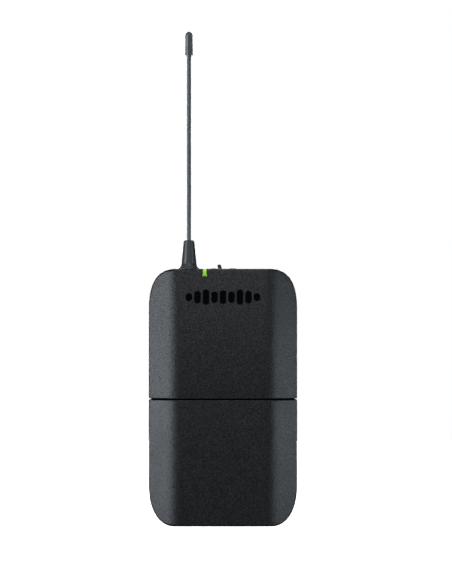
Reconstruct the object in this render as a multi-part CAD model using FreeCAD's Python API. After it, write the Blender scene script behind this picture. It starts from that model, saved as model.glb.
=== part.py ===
"""Wireless bodypack transmitter: a two-cell belt pack with a whip antenna, as an assembly of separate pieces.

Frame: millimetres, +Z up towards the antenna, the front cover faces -Y and the belt clip +Y.
The origin is the middle of the flat bottom end of the case.
"""
import FreeCAD, Part
import math
import os

V = FreeCAD.Vector
X_AXIS, Y_AXIS, Z_AXIS = V(1, 0, 0), V(0, 1, 0), V(0, 0, 1)

# ---------------------------------------------------------------- case
case_width = 64.0
case_height = 110.8
case_depth = 21.1
wall = 1.8
front_facet_run = 10.5        # width of each sloped band beside the flat front
front_facet_angle = 28.0
front_bend_radius = 16.0
back_facet_run = 4.9
back_facet_angle = 45.0
back_bend_radius = 3.0
low_corner = (11.1, 17.3, 0.84)    # run along X, rise along Z, fullness of the curve
top_corner = (11.5, 17.1, 0.99)
rim_radius = 1.0              # rounds the edge all round the front and the back
fit_gap = 0.15                # free space round pieces that slide or drop in
touch_gap = 0.1

half_width = case_width / 2
front_y = -case_depth / 2
back_y = case_depth / 2
inner_front_y = front_y + wall
inner_back_y = back_y - wall
inner_half_width = half_width - wall
inner_top_z = case_height - wall

# ---------------------------------------------------------------- cells and battery bay
cell_radius = 7.25
cell_length = 50.5
cell_wrap = 0.2
nub_radius = 2.75
nub_height = 1.1
cell_rib_gap = 0.8
low_contact_height = 2.8
top_contact_height = 2.4
contact_sheet = 0.4
contact_half_width = 5.0
spring_wire_radius = 0.3
spring_taper = 1.0            # how much narrower the end that meets the cell is
spring_pitch = 0.8
spring_steps_per_turn = 18
spring_wire_sides = 8
cell_seat_overlap = 0.75      # how far the cells reach above the door's top edge

cell_low_z = wall + low_contact_height
cell_top_z = cell_low_z + cell_length
bulkhead_low_z = cell_top_z + top_contact_height
bulkhead_thickness = 1.5
bulkhead_top_z = bulkhead_low_z + bulkhead_thickness
partition_thickness = 1.5

# ---------------------------------------------------------------- battery door
door_top_z = cell_top_z - cell_seat_overlap
seam_gap = 0.6
seam_past_side = 1.3          # how far the seam's groove runs on round the back facet
seam_top_z = door_top_z + seam_gap
lip_inset = 1.0
lip_drop = 1.15
lip_relief = 0.5              # room under the lip as the door swings
hinge_setback = 4.05
hinge_z = 2.3
barrel_radius = 2.1
barrel_clearance = 0.35
eye_radius = 1.9
hinge_pin_radius = 0.75
hinge_running_gap = 0.05
sill_height = 6.0
sill_wall = 0.7
ear_thickness = 2.0
knuckle_length = 2.3
ear_centre_inset = 10.9       # from the side of the case to the middle of the ear
hinge_y = front_y + hinge_setback
sill_front_y = hinge_y + barrel_radius + barrel_clearance
ear_x = half_width - ear_centre_inset

# ---------------------------------------------------------------- door latch tabs
latch_height = 8.0
latch_depth = 2.2
latch_below_top = 3.85        # from the door's top edge down to the tab
latch_front_gap = 1.85        # from the side edge of the front facet back to the tab
latch_flange = 1.05
latch_flange_lap = 0.5
latch_finger_reach = 3.6
latch_finger_thickness = 0.65
catch_height = 0.5

# ---------------------------------------------------------------- circuit board
board_front_y = 3.4
board_thickness = 1.6
board_edge_gap = 0.4
board_back_y = board_front_y + board_thickness
board_low_z = bulkhead_top_z + 0.6
tongue_low_z = 9.5

# ---------------------------------------------------------------- screws
case_screw_x = half_width - 7.9
case_screw_low_z = bulkhead_top_z + 3.5
case_screw_high_z = case_height - 20.8
boss_radius = 2.6
screw_pilot_radius = 0.8
screw_clear_radius = 1.1
screw_head_radius = 1.9
screw_head_height = 1.3
screw_recess_depth = 2.2
board_screw_points = ((0.0, bulkhead_top_z + 4.5), (4.0, case_height - 12.8))
standoff_radius = 2.0
board_pilot_radius = 0.6

# ---------------------------------------------------------------- antenna
antenna_x = -14.7
boot_height = 12.4
boot_skirt_radius = 4.7
boot_low_radius = 3.45
boot_top_radius = 2.15
boot_skirt_height = 2.3
boot_neck_radius = 2.9
boot_flange_radius = 4.2
boot_flange_height = 2.5
seat_thickness = 1.2
whip_radius = 0.95
core_radius = 0.45
ferrule_radius = 1.5
ferrule_above_top = 3.2
ferrule_below_top = 7.8
tip_low_z = case_height + 92.5
tip_length = 10.2
tip_low_radius = 1.8
tip_top_radius = 1.7
collar_radius = 1.15
collar_height = 0.8
antenna_contact_sheet = 0.3

# ---------------------------------------------------------------- microphone jack, four contacts
jack_x = 16.5
jack_outer_radius = 5.5
jack_bore_radius = 4.75
jack_flange_radius = 6.6
jack_flange_thickness = 1.5
jack_recess = 0.5
jack_length = 10.8
jack_floor = 2.0
jack_pin_radius = 0.5
jack_pin_circle_radius = 2.45
jack_pin_stand = 7.2          # length of each contact above the insulator
jack_pin_root_width = 1.1     # square, through the insulator, up to a small shoulder
jack_pin_shoulder = 0.3
jack_key_width = 1.2
jack_key_depth = 0.6
jack_pin_tail = 2.0           # below the insulator
jack_lead_width = 0.7
jack_front_lead_drop = 4.0
jack_back_lead_drop = 2.0

# ---------------------------------------------------------------- status light
light_x = -7.85
light_width = 1.7
light_height = 2.75
light_depth = 3.2
light_notch_below = 0.45
light_leg_width = 1.4
light_leg_height = 1.8
lamp_width = 2.0
lamp_depth = 1.6

# ---------------------------------------------------------------- power switch
switch_x = 0.25
bezel_length = 10.8
bezel_depth = 4.8
bezel_flange = 0.8
bezel_pad_left = 2.45
bezel_pad_right = 2.95
bezel_pad_rise = 0.22
bezel_floor_drop = 0.6
fin_height = 1.95
fin_half_depth = 1.6
slider_half_length = 1.1
stem_half_width = 0.45
stem_half_depth = 0.6
switch_body_length = 11.0
switch_body_height = 5.2

# ---------------------------------------------------------------- control panel behind the door
panel_front_y = -3.6
panel_thickness = 1.4
panel_skirt = 1.2
panel_side_gap = 2.9
panel_low_z = 7.0
button_radius = 2.9
button_rise = 0.6
button_travel = 0.35
button_flange = 0.6
gain_radius = 3.8
gain_rise = 0.6
window_width = 12.6
window_height = 8.4
window_thickness = 1.0
tact_height = 1.8
tact_width = 6.0

# ---------------------------------------------------------------- belt clip
clip_sheet = 1.2
clip_gap = 0.2
saddle_half_width = 9.0
saddle_depth = 5.5
saddle_height = 9.5
saddle_below_top = 13.3       # from the top of the case down to the saddle
clip_pivot_depth = 2.65       # from the back face to the pivot axis
clip_pivot_radius = 1.4
clip_bore_radius = 1.45
clip_pin_length = 1.7
clip_stand_off = 6.65         # from the back face to the arm's inner side at the saddle
clip_arm_length = 60.0
clip_tip_gap = 0.3
clip_tip_half_width = 7.0
clip_ear_gap = 0.35

# ---------------------------------------------------------------- rating label
label_half_width = 17.0
label_low_z = 13.0
label_height = 20.0
label_recess = 0.25
label_thickness = 0.2


# ================================================================ helpers
def box(x, y, z):
    """Box between the two values of each pair."""
    return Part.makeBox(x[1] - x[0], y[1] - y[0], z[1] - z[0], V(x[0], y[0], z[0]))


def cylinder(radius, start, axis, length):
    return Part.makeCylinder(radius, length, start, axis)


def fuse(first, *others):
    return first.multiFuse(list(others)).removeSplitter()


def line_meet(p, d, q, e):
    """Where the line from p along d meets the line from q along e, in two dimensions."""
    cross = d[0] * e[1] - d[1] * e[0]
    t = ((q[0] - p[0]) * e[1] - (q[1] - p[1]) * e[0]) / cross
    return p[0] + d[0] * t, p[1] + d[1] * t


def unit(a, b):
    length = math.hypot(b[0] - a[0], b[1] - a[1])
    return (b[0] - a[0]) / length, (b[1] - a[1]) / length


def offset_path(points, distance, closed):
    """The same corners, with each straight run moved to its left by distance."""
    runs = list(zip(points, points[1:] + points[:1] if closed else points[1:]))
    moved = []
    for a, b in runs:
        d = unit(a, b)
        moved.append(((a[0] - d[1] * distance, a[1] + d[0] * distance), d))
    corners = [line_meet(*moved[i - 1], *moved[i]) for i in range(0 if closed else 1, len(moved))]
    if closed:
        return corners
    (a, b), n = runs[-1], moved[-1][1]
    return [moved[0][0]] + corners + [(b[0] - n[1] * distance, b[1] + n[0] * distance)]


def rounded_edges(points, radii, place, closed):
    """Edges along the points, each corner rounded by its radius. place turns (u, v) into a vector."""
    count = len(points)
    stops = []
    for i, (point, radius) in enumerate(zip(points, radii)):
        if radius <= 0 or (not closed and i in (0, count - 1)):
            stops.append((point, None, point))
            continue
        back = unit(point, points[i - 1])
        ahead = unit(point, points[(i + 1) % count])
        half = math.acos(max(-1.0, min(1.0, back[0] * ahead[0] + back[1] * ahead[1]))) / 2
        reach = radius / math.tan(half)
        middle = unit((0, 0), (back[0] + ahead[0], back[1] + ahead[1]))
        depth = radius / math.sin(half) - radius
        stops.append((
            (point[0] + back[0] * reach, point[1] + back[1] * reach),
            (point[0] + middle[0] * depth, point[1] + middle[1] * depth),
            (point[0] + ahead[0] * reach, point[1] + ahead[1] * reach)))
    edges = []
    for i, (start, middle, end) in enumerate(stops):
        if middle is not None:
            edges.append(Part.Arc(place(*start), place(*middle), place(*end)).toShape())
        if i < count - 1 or closed:
            following = stops[(i + 1) % count][0]
            edges.append(Part.LineSegment(place(*end), place(*following)).toShape())
    return edges


def rounded_face(points, radii, place):
    return Part.Face(Part.Wire(rounded_edges(points, radii, place, True)))


def in_yz(y, z):
    return V(0, y, z)


def in_xy(x, y):
    return V(x, y, 0)


def in_xz(x, z):
    return V(x, 0, z)


def ribbon(points, radii, thickness, place, width):
    """A bent strip: the points are its middle line, and width is the vector it is extruded along."""
    left = offset_path(points, thickness / 2, False)
    right = offset_path(points, -thickness / 2, False)
    left_radii, right_radii = [0], [0]
    for i in range(1, len(points) - 1):
        a, b = unit(points[i - 1], points[i]), unit(points[i], points[i + 1])
        turn = 1 if a[0] * b[1] - a[1] * b[0] > 0 else -1
        left_radii.append(radii[i] - turn * thickness / 2)
        right_radii.append(radii[i] + turn * thickness / 2)
    left_edges = rounded_edges(left, left_radii + [0], place, False)
    right_edges = rounded_edges(right, right_radii + [0], place, False)
    caps = [Part.LineSegment(place(*left[0]), place(*right[0])).toShape(),
            Part.LineSegment(place(*left[-1]), place(*right[-1])).toShape()]
    wire = Part.Wire(Part.__sortEdges__(left_edges + right_edges + caps))
    return Part.Face(wire).extrude(width)


def turned(profile, x, y):
    """Solid turned about the vertical line through (x, y) from (radius, z) corners."""
    points = [V(x + r, y, z) for r, z in profile]
    return Part.Face(Part.makePolygon(points + points[:1])).revolve(V(x, y, 0), Z_AXIS, 360)


def edges_where(shape, test):
    """Edges whose middle point passes the test."""
    chosen = []
    for edge in shape.Edges:
        middle = edge.valueAt((edge.FirstParameter + edge.LastParameter) / 2)
        if test(middle, edge):
            chosen.append(edge)
    return chosen


def runs_along(edge, axis):
    if edge.Curve.TypeId != "Part::GeomLine":
        return False
    return abs(edge.tangentAt(edge.FirstParameter).dot(axis)) > 0.999


def corner_curve(start, corner, end, fullness):
    """Conic from start to end, tangent to the lines that meet at corner."""
    curve = Part.BSplineCurve()
    curve.buildFromPolesMultsKnots([start, corner, end], [3, 3], [0, 1], False, 2, [1, fullness, 1])
    return curve.toShape()


# ================================================================ case form
def section_points(inset):
    """The case's horizontal section, taken in by inset, and the radius of each corner."""
    drop_front = front_facet_run * math.tan(math.radians(front_facet_angle))
    drop_back = back_facet_run * math.tan(math.radians(back_facet_angle))
    flat_front = half_width - front_facet_run
    flat_back = half_width - back_facet_run
    points = [(-flat_front, front_y), (flat_front, front_y), (half_width, front_y + drop_front),
              (half_width, back_y - drop_back), (flat_back, back_y), (-flat_back, back_y),
              (-half_width, back_y - drop_back), (-half_width, front_y + drop_front)]
    radii = [front_bend_radius - inset, front_bend_radius - inset, 0, 0,
             back_bend_radius - inset, back_bend_radius - inset, 0, 0]
    return (offset_path(points, inset, True) if inset else points), radii


def outline_face(inset):
    """The case's front outline, taken in by inset."""
    side, low, top = half_width - inset, inset, case_height - inset
    low_run, low_rise = low_corner[0] - inset / 2, low_corner[1] - inset / 2
    top_run, top_rise = top_corner[0] - inset / 2, top_corner[1] - inset / 2

    def run(a, b):
        return Part.LineSegment(V(a[0], 0, a[1]), V(b[0], 0, b[1])).toShape()

    def corner(a, c, b, fullness):
        return corner_curve(V(a[0], 0, a[1]), V(c[0], 0, c[1]), V(b[0], 0, b[1]), fullness)

    edges = [
        run((-side + low_run, low), (side - low_run, low)),
        corner((side - low_run, low), (side, low), (side, low + low_rise), low_corner[2]),
        run((side, low + low_rise), (side, top - top_rise)),
        corner((side, top - top_rise), (side, top), (side - top_run, top), top_corner[2]),
        run((side - top_run, top), (-side + top_run, top)),
        corner((-side + top_run, top), (-side, top), (-side, top - top_rise), top_corner[2]),
        run((-side, top - top_rise), (-side, low + low_rise)),
        corner((-side, low + low_rise), (-side, low), (-side + low_run, low), low_corner[2])]
    return Part.Face(Part.Wire(edges))


def case_form(inset):
    """The whole case as one solid, taken in by inset on every side."""
    points, radii = section_points(inset)
    section = rounded_face(points, radii, in_xy).extrude(V(0, 0, case_height))
    outline = outline_face(inset)
    outline.translate(V(0, -case_depth, 0))
    return section.common(outline.extrude(V(0, 2 * case_depth, 0))).removeSplitter()


def rim_edges(form):
    """The two closed loops where the front and the back meet the sides."""
    def on_rim(middle, edge):
        if runs_along(edge, Y_AXIS):
            return False
        if runs_along(edge, Z_AXIS):
            return abs(middle.x) > half_width - 0.01
        return True
    return edges_where(form, on_rim)


def build_case_form():
    sharp = case_form(0)
    return sharp.makeFillet(rim_radius, rim_edges(sharp))


def half_width_at(z, inset):
    """Half the width inside the outline at height z, for placing pieces near the corners."""
    line = Part.LineSegment(V(0, 0, z), V(case_width, 0, z)).toShape()
    return outline_face(inset).common(line).BoundBox.XMax


def front_inner_y(x):
    """The front wall's inner side at x, on the facet's straight part."""
    slope = math.tan(math.radians(front_facet_angle))
    rise = max(0.0, abs(x) - (half_width - front_facet_run)) * slope
    return front_y + rise + wall / math.cos(math.radians(front_facet_angle))


spring_wide_radius = -(sill_front_y + sill_wall) - spring_wire_radius - fit_gap
spring_narrow_radius = spring_wide_radius - spring_taper
cell_right_x = half_width_at(cell_low_z, wall) - cell_radius - 0.3
cell_left_x = cell_right_x - 2 * cell_radius - cell_rib_gap
partition_right_x = cell_left_x - cell_radius - 0.35
partition_left_x = partition_right_x - partition_thickness
panel_left_x = -inner_half_width + panel_side_gap
panel_right_x = partition_left_x - 0.2
panel_top_z = bulkhead_low_z - 0.2
panel_middle_x = (panel_left_x + panel_right_x) / 2
tongue_left_x = panel_left_x + panel_skirt + 0.2
tongue_right_x = panel_right_x - panel_skirt - 0.2
window_z = panel_top_z - 9.5
button_z = window_z - 14.0
button_spread = 5.3
gain_z = button_z - 14.0
tab_low_z = door_top_z - latch_below_top - latch_height
side_front_y = front_y + front_facet_run * math.tan(math.radians(front_facet_angle))
side_back_y = back_y - back_facet_run * math.tan(math.radians(back_facet_angle))
tab_front_y = side_front_y + latch_front_gap
tab_back_y = tab_front_y + latch_depth
slider_well = (switch_x - bezel_length / 2 + bezel_pad_left, switch_x + bezel_length / 2 - bezel_pad_right)
slider_x = slider_well[0] + touch_gap + slider_half_length
slider_travel = slider_well[1] - slider_well[0] - 2 * (slider_half_length + touch_gap)
board_top_z = inner_top_z - boot_flange_height - board_edge_gap
floor_flat_half = inner_half_width - (low_corner[0] - wall / 2)
clip_pivot_y = back_y + clip_pivot_depth
saddle_top_z = case_height - saddle_below_top
clip_pivot_z = saddle_top_z - saddle_height / 2
everywhere = (-2 * case_width, 2 * case_width)


# ================================================================ shells
def boss(x, z, radius, y0, y1):
    return cylinder(radius, V(x, y0, z), Y_AXIS, y1 - y0)


def case_screw_points():
    return [(side * case_screw_x, z) for z in (case_screw_low_z, case_screw_high_z) for side in (-1, 1)]


def top_openings():
    """Holes through the top wall for the antenna boot, the jack and the switch bezel."""
    through = (inner_top_z - 0.5, case_height + 1)
    depth = through[1] - through[0]
    boot = cylinder(boot_neck_radius + touch_gap, V(antenna_x, 0, through[0]), Z_AXIS, depth)
    jack = cylinder(jack_outer_radius + fit_gap, V(jack_x, 0, through[0]), Z_AXIS, depth)
    bezel = box((switch_x - bezel_length / 2 - touch_gap, switch_x + bezel_length / 2 + touch_gap),
                (-bezel_depth / 2 - touch_gap, bezel_depth / 2 + touch_gap), through)
    return [boot, jack, bezel]


def flange_seats(inside, y):
    """Half rings under the top wall that hold the flanges of the boot and the jack."""
    seats = []
    for x, _, flange, thickness in flanged_pieces():
        low = inner_top_z - thickness - seat_thickness
        ring = cylinder(flange + seat_thickness, V(x, 0, low), Z_AXIS, inner_top_z + 0.5 - low)
        seats.append(ring.common(inside).common(box(everywhere, y, (low, case_height))))
    return seats


def flange_pockets():
    """Room for each flange and its neck inside the half rings."""
    pockets = []
    for x, neck, flange, thickness in flanged_pieces():
        neck_length = thickness + 2 * seat_thickness
        pockets.append(cylinder(flange + touch_gap, V(x, 0, inner_top_z - thickness), Z_AXIS, thickness))
        pockets.append(cylinder(neck + touch_gap, V(x, 0, inner_top_z - neck_length), Z_AXIS, neck_length))
    return pockets


def flanged_pieces():
    """(centre x, neck radius, flange radius, flange thickness) of the pieces held in the top wall."""
    return ((antenna_x, boot_neck_radius, boot_flange_radius, boot_flange_height),
            (jack_x, jack_outer_radius, jack_flange_radius, jack_flange_thickness))


def light_notch():
    return box((light_x - light_width / 2 - touch_gap, light_x + light_width / 2 + touch_gap),
               (front_y - 1, front_y + light_depth + touch_gap),
               (case_height - light_height - light_notch_below, case_height + 1))


def front_case(form, core, lip_form):
    """Upper front shell, with a hanging lip that the door closes over."""
    zone = box(everywhere, (front_y - 1, 0), (seam_top_z, case_height + 1))
    shell = form.common(zone).cut(core)
    lip_zone = box(everywhere, (front_y - 1, -fit_gap), (door_top_z - lip_drop, seam_top_z + 0.4))
    lip = lip_form.common(lip_zone).cut(core)
    floor = core.common(box(everywhere, (front_y, 0), (bulkhead_low_z, bulkhead_top_z)))
    added = [lip, floor]
    for x, z in case_screw_points():
        added.append(boss(x, z, boss_radius, front_y, 0).common(lip_form))
    added += flange_seats(lip_form, (front_y, 0))
    body = fuse(shell, *added)
    for x, z in case_screw_points():
        body = body.cut(boss(x, z, screw_pilot_radius, front_inner_y(x), 0.1))
    edge_fillet = 0.3
    lower_rim = edges_where(body, lambda m, e: abs(m.z - seam_top_z) < 0.01
                            and abs(m.y) > 0.05
                            and not lip_form.isInside(V(m.x, m.y + 0.05, m.z), 0.01, True))
    body = body.makeFillet(edge_fillet, lower_rim)
    return body.cut(Part.makeCompound(top_openings() + flange_pockets() + [light_notch(), light_channel()]))


def sill_zone(gap):
    """The strip at the bottom that stays with the rear shell when the door opens."""
    return box(everywhere, (sill_front_y - gap, front_y + case_depth), (-1, sill_height + gap))


def rear_case(form, core, groove_form):
    """Full-height rear shell with the battery bay, screw bosses and the saddle for the belt clip."""
    back_zone = box(everywhere, (0, back_y + 1), (-1, case_height + 1))
    shell = fuse(form.common(back_zone), form.common(sill_zone(0))).cut(core)
    inside = case_form(wall / 2)
    added = [core.common(box(everywhere, (0, back_y), (bulkhead_low_z, bulkhead_top_z)))]
    added.append(box((partition_left_x, partition_right_x), (panel_front_y + 0.6, inner_back_y + 0.5),
                     (wall - 0.5, bulkhead_low_z - touch_gap)))
    added.append(box((partition_left_x, partition_right_x), (0, inner_back_y + 0.5),
                     (bulkhead_low_z - 1.0, bulkhead_low_z + 0.5)))
    added.append(inside.common(box(everywhere, (sill_front_y, sill_front_y + sill_wall),
                                   (0, cell_low_z - barrel_clearance))))
    cells = [cylinder(cell_radius + touch_gap, V(x, 0, wall), Z_AXIS, bulkhead_low_z - wall)
             for x in (cell_left_x, cell_right_x)]
    rib_right_x = cell_right_x + cell_radius
    for share in (0.16, 0.5, 0.84):
        z = cell_low_z + share * cell_length
        rib = box((partition_right_x - 0.5, rib_right_x), (0.6, inner_back_y + 0.5), (z - 0.6, z + 0.6))
        added.append(rib.cut(Part.makeCompound(cells)))
    for share in (0.2, 0.72):
        z = tongue_low_z + share * (bulkhead_low_z - tongue_low_z)
        added.append(box((tongue_left_x + 2, tongue_right_x - 2), (board_back_y, inner_back_y + 0.5),
                         (z - 0.6, z + 0.6)))
    for x, z in case_screw_points():
        added.append(boss(x, z, boss_radius, 0, back_y).common(inside))
    for x, z in board_screw_points:
        added.append(boss(x, z, standoff_radius, board_back_y, inner_back_y + 0.5))
    for side in (-1, 1):
        catch_z = (tab_low_z + 1.0, tab_low_z + latch_height - 1.0)
        catch_x = sorted((side * (inner_half_width - catch_height), side * (inner_half_width + 0.5)))
        added.append(box(catch_x, (1.0, 2.2), catch_z))
        added.append(hinge_ear(side))
    added.append(clip_saddle())
    added += flange_seats(inside, (0, board_front_y - 0.2))
    body = fuse(shell, *added)
    cuts = top_openings() + flange_pockets() + [light_channel()]
    for x, z in case_screw_points():
        cuts.append(boss(x, z, screw_clear_radius, -1, back_y + 1))
        cuts.append(boss(x, z, screw_head_radius + 0.2, back_y - screw_recess_depth, back_y + 1))
    for x, z in board_screw_points:
        cuts.append(boss(x, z, board_pilot_radius, board_back_y - 0.1, inner_back_y - 0.2))
    for side in (-1, 1):
        cuts.append(cylinder(hinge_pin_radius, V(side * ear_x - ear_thickness, hinge_y, hinge_z), X_AXIS,
                             2 * ear_thickness))
        start = side * (saddle_half_width - clip_pin_length - fit_gap)
        cuts.append(cylinder(clip_bore_radius, V(start, clip_pivot_y, clip_pivot_z), X_AXIS * side,
                             clip_pin_length + 1))
    cuts.append(box((tongue_left_x - 0.3, tongue_right_x + 0.3), (-1, board_back_y + 0.3),
                    (bulkhead_low_z - 1, bulkhead_top_z + 1)))
    for x in (cell_left_x, cell_right_x):
        cuts.append(box((x - 1.8, x + 1.8), (board_front_y - 0.6, board_front_y + 0.2),
                        (bulkhead_low_z - 1, bulkhead_top_z + 1)))
    groove = form.cut(groove_form).common(box(everywhere, (-1, side_back_y + seam_past_side),
                                              (door_top_z, seam_top_z)))
    cuts.append(groove)
    wedge = [(sill_front_y - 1, -1), (sill_front_y + 0.65, -1), (sill_front_y, hinge_z + 0.3),
             (sill_front_y - 1, hinge_z + 0.3)]
    swing = Part.Face(Part.makePolygon([V(-case_width, y, z) for y, z in wedge + wedge[:1]]))
    swing = swing.extrude(V(2 * case_width, 0, 0))
    roll_room = barrel_radius + barrel_clearance
    roll = cylinder(roll_room, V(-case_width, hinge_y, hinge_z), X_AXIS, 2 * case_width)
    cuts.append(swing.fuse(roll).cut(Part.makeCompound([hinge_ear(side) for side in (-1, 1)])))
    cuts.append(box((-label_half_width - fit_gap, label_half_width + fit_gap),
                    (back_y - label_recess, back_y + 1),
                    (label_low_z - fit_gap, label_low_z + label_height + fit_gap)))
    return body.cut(Part.makeCompound(cuts))


def hinge_ear(side):
    """Ear on the sill that carries one hinge pin, between the door's two knuckles."""
    x0 = side * ear_x - ear_thickness / 2
    eye = cylinder(eye_radius, V(x0, hinge_y, hinge_z), X_AXIS, ear_thickness)
    bar = box((x0, x0 + ear_thickness), (hinge_y, sill_front_y + sill_wall / 2),
              (hinge_z - 0.9, hinge_z + 1.2))
    return eye.fuse(bar)


def clip_saddle():
    """Raised block on the back that the belt clip's two pins snap into."""
    block = box((-saddle_half_width, saddle_half_width), (back_y - 0.5, back_y + saddle_depth),
                (saddle_top_z - saddle_height, saddle_top_z))
    far_edges = edges_where(block, lambda m, e: m.y > back_y + saddle_depth - 0.01 and runs_along(e, X_AXIS))
    block = block.makeFillet(2.2, far_edges)
    side_edges = edges_where(block, lambda m, e: abs(abs(m.x) - saddle_half_width) < 0.01
                             and m.y > back_y - 0.4 and not runs_along(e, X_AXIS))
    return block.makeFillet(0.5, side_edges)


def battery_door(form, core, rim_form):
    """Lower front cover, hinged at the bottom, with ribs that hold the cells."""
    zone = box(everywhere, (front_y - 1, -fit_gap), (-1, door_top_z))
    shell = form.common(zone).cut(core).cut(sill_zone(fit_gap))
    heel = box(everywhere, (hinge_y, 0), (-1, hinge_z))
    barrel = cylinder(barrel_radius, V(-case_width, hinge_y, hinge_z), X_AXIS, 2 * case_width)
    shell = shell.cut(heel.cut(barrel))
    recess = rim_form.common(box(everywhere, (front_y, 1),
                                 (door_top_z - lip_drop - lip_relief, door_top_z + 1)))
    shell = shell.cut(recess)
    roll_reach = ear_x + ear_thickness / 2 + fit_gap + knuckle_length
    roll = cylinder(barrel_radius, V(-roll_reach, hinge_y, hinge_z), X_AXIS, 2 * roll_reach)
    added = [roll.common(form)]
    cells = [cylinder(cell_radius + 0.35, V(x, 0, 0), Z_AXIS, seam_top_z)
             for x in (cell_left_x, cell_right_x)]
    inside = case_form(wall / 2)
    for share in (0.28, 0.66):
        z = cell_low_z + share * cell_length
        rib = box((cell_left_x - 5.5, cell_right_x + 5.0), (front_y, -3.6), (z - 0.6, z + 0.6))
        added.append(rib.common(inside).cut(Part.makeCompound(cells)))
    body = fuse(shell, *added)
    cuts = []
    for side in (-1, 1):
        ear_room = ear_thickness / 2 + fit_gap
        cuts.append(box((side * ear_x - ear_room, side * ear_x + ear_room),
                        (hinge_y - eye_radius - 0.3, 0), (-1, hinge_z + eye_radius + 1)))
        length = 2 * knuckle_length + ear_thickness + 4
        cuts.append(cylinder(hinge_pin_radius + hinge_running_gap,
                             V(side * ear_x - length / 2, hinge_y, hinge_z), X_AXIS, length))
        window_x = sorted((side * (inner_half_width - 1), side * (half_width + 1)))
        cuts.append(box(window_x, (tab_front_y - fit_gap, tab_back_y + fit_gap),
                        (tab_low_z - fit_gap, tab_low_z + latch_height + fit_gap)))
    body = body.cut(Part.makeCompound(cuts))
    edge_fillet = 0.3
    top_rim = edges_where(body, lambda m, e: abs(m.z - door_top_z) < 0.01 and abs(m.y) > 0.2
                          and not rim_form.isInside(V(m.x, m.y + 0.05, m.z - 0.01), 0.01, True))
    return body.makeFillet(edge_fillet, top_rim)


# ================================================================ door fittings
def hinge_pins():
    length = 2 * knuckle_length + ear_thickness + 2 * fit_gap
    return [cylinder(hinge_pin_radius, V(side * ear_x - length / 2, hinge_y, hinge_z), X_AXIS, length)
            for side in (-1, 1)]


def latch_tab(side):
    """Finger tab in the door's side wall, with a finger behind the rear shell's catch."""
    z = (tab_low_z, tab_low_z + latch_height)
    flange_x = inner_half_width - touch_gap - latch_flange
    pad = box((flange_x, half_width - 0.05), (tab_front_y, tab_back_y), z)
    outer = edges_where(pad, lambda m, e: m.x > half_width - 0.1)
    pad = pad.makeFillet(0.25, outer)
    flange = box((flange_x, inner_half_width - touch_gap),
                 (tab_front_y - latch_flange_lap, tab_back_y + latch_flange_lap),
                 (z[0] - latch_flange_lap, z[1] + latch_flange_lap))
    finger = box((flange_x, flange_x + latch_finger_thickness), (tab_back_y, latch_finger_reach),
                 (z[0] + 1.4, z[1] - 1.4))
    grips = []
    for k in range(1, 6):
        grip_z = z[0] + latch_height * k / 6
        grips.append(box((half_width - 0.35, half_width + 1), (tab_front_y - 1, tab_back_y + 1),
                         (grip_z - 0.25, grip_z + 0.25)))
    tab = fuse(pad, flange, finger).cut(Part.makeCompound(grips))
    return tab if side > 0 else tab.mirror(V(0, 0, 0), X_AXIS)


# ================================================================ cells and contacts
def cells():
    """(centre x, True if the positive end is up) for each cell."""
    return ((cell_left_x, True), (cell_right_x, False))


def battery_can(x, up):
    can_radius = cell_radius - cell_wrap
    low = cell_low_z + (0 if up else nub_height)
    can = cylinder(can_radius, V(x, 0, low), Z_AXIS, cell_length - nub_height)
    can = can.makeFillet(0.6, edges_where(can, lambda m, e: not runs_along(e, Z_AXIS)))
    nub_z = cell_top_z - nub_height - 0.2 if up else cell_low_z
    nub = cylinder(nub_radius, V(x, 0, nub_z), Z_AXIS, nub_height + 0.2)
    return can.fuse(nub).removeSplitter()


def battery_wrap(x, up):
    low = cell_low_z + (0.7 if up else nub_height + 0.7)
    length = cell_length - nub_height - 1.4
    outer = cylinder(cell_radius, V(x, 0, low), Z_AXIS, length)
    return outer.cut(cylinder(cell_radius - cell_wrap, V(x, 0, low), Z_AXIS, length))


def coil_spring(x, low_z, high_z, wide_end_low):
    """Conical contact spring of many-sided wire, closed up to the height that a fitted cell leaves it."""
    height = high_z - low_z - 2 * spring_wire_radius
    steps = round(height / spring_pitch * spring_steps_per_turn)
    rings = []
    for i in range(steps + 1):
        share = i / steps
        angle = 2 * math.pi * i / spring_steps_per_turn
        radius = spring_narrow_radius + share * spring_taper
        level = low_z + spring_wire_radius + height * (1 - share if wide_end_low else share)
        ring = []
        for k in range(spring_wire_sides):
            turn = 2 * math.pi * k / spring_wire_sides
            reach = radius + spring_wire_radius * math.cos(turn)
            rise = spring_wire_radius * math.sin(turn)
            ring.append(V(x + reach * math.cos(angle), reach * math.sin(angle), level + rise))
        rings.append(ring)
    faces = [Part.Face(Part.makePolygon(ring + ring[:1])) for ring in (rings[0], rings[-1])]
    for low, high in zip(rings, rings[1:]):
        for k in range(spring_wire_sides):
            j = (k + 1) % spring_wire_sides
            faces.append(Part.Face(Part.makePolygon([low[k], low[j], high[j], low[k]])))
            faces.append(Part.Face(Part.makePolygon([low[k], high[j], high[k], low[k]])))
    coil = Part.makeSolid(Part.makeShell(faces))
    return coil if coil.Volume > 0 else coil.reversed()


def leaf(x, base_z, tip_z):
    """Bent contact leaf that rises from a plate to a cell's nub, with its end turned back."""
    t = 0.3
    rise = 1 if tip_z > base_z else -1
    points = [(x - 4.5, base_z), (x - 1.3, tip_z - rise * t / 2), (x + 1.3, tip_z - rise * t / 2),
              (x + 2.2, tip_z - rise * 0.9)]
    strip = ribbon(points, [0, 0.8, 0.8, 0], t, in_xz, V(0, 4.0, 0))
    strip.translate(V(0, -2.0, 0))
    return strip


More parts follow.
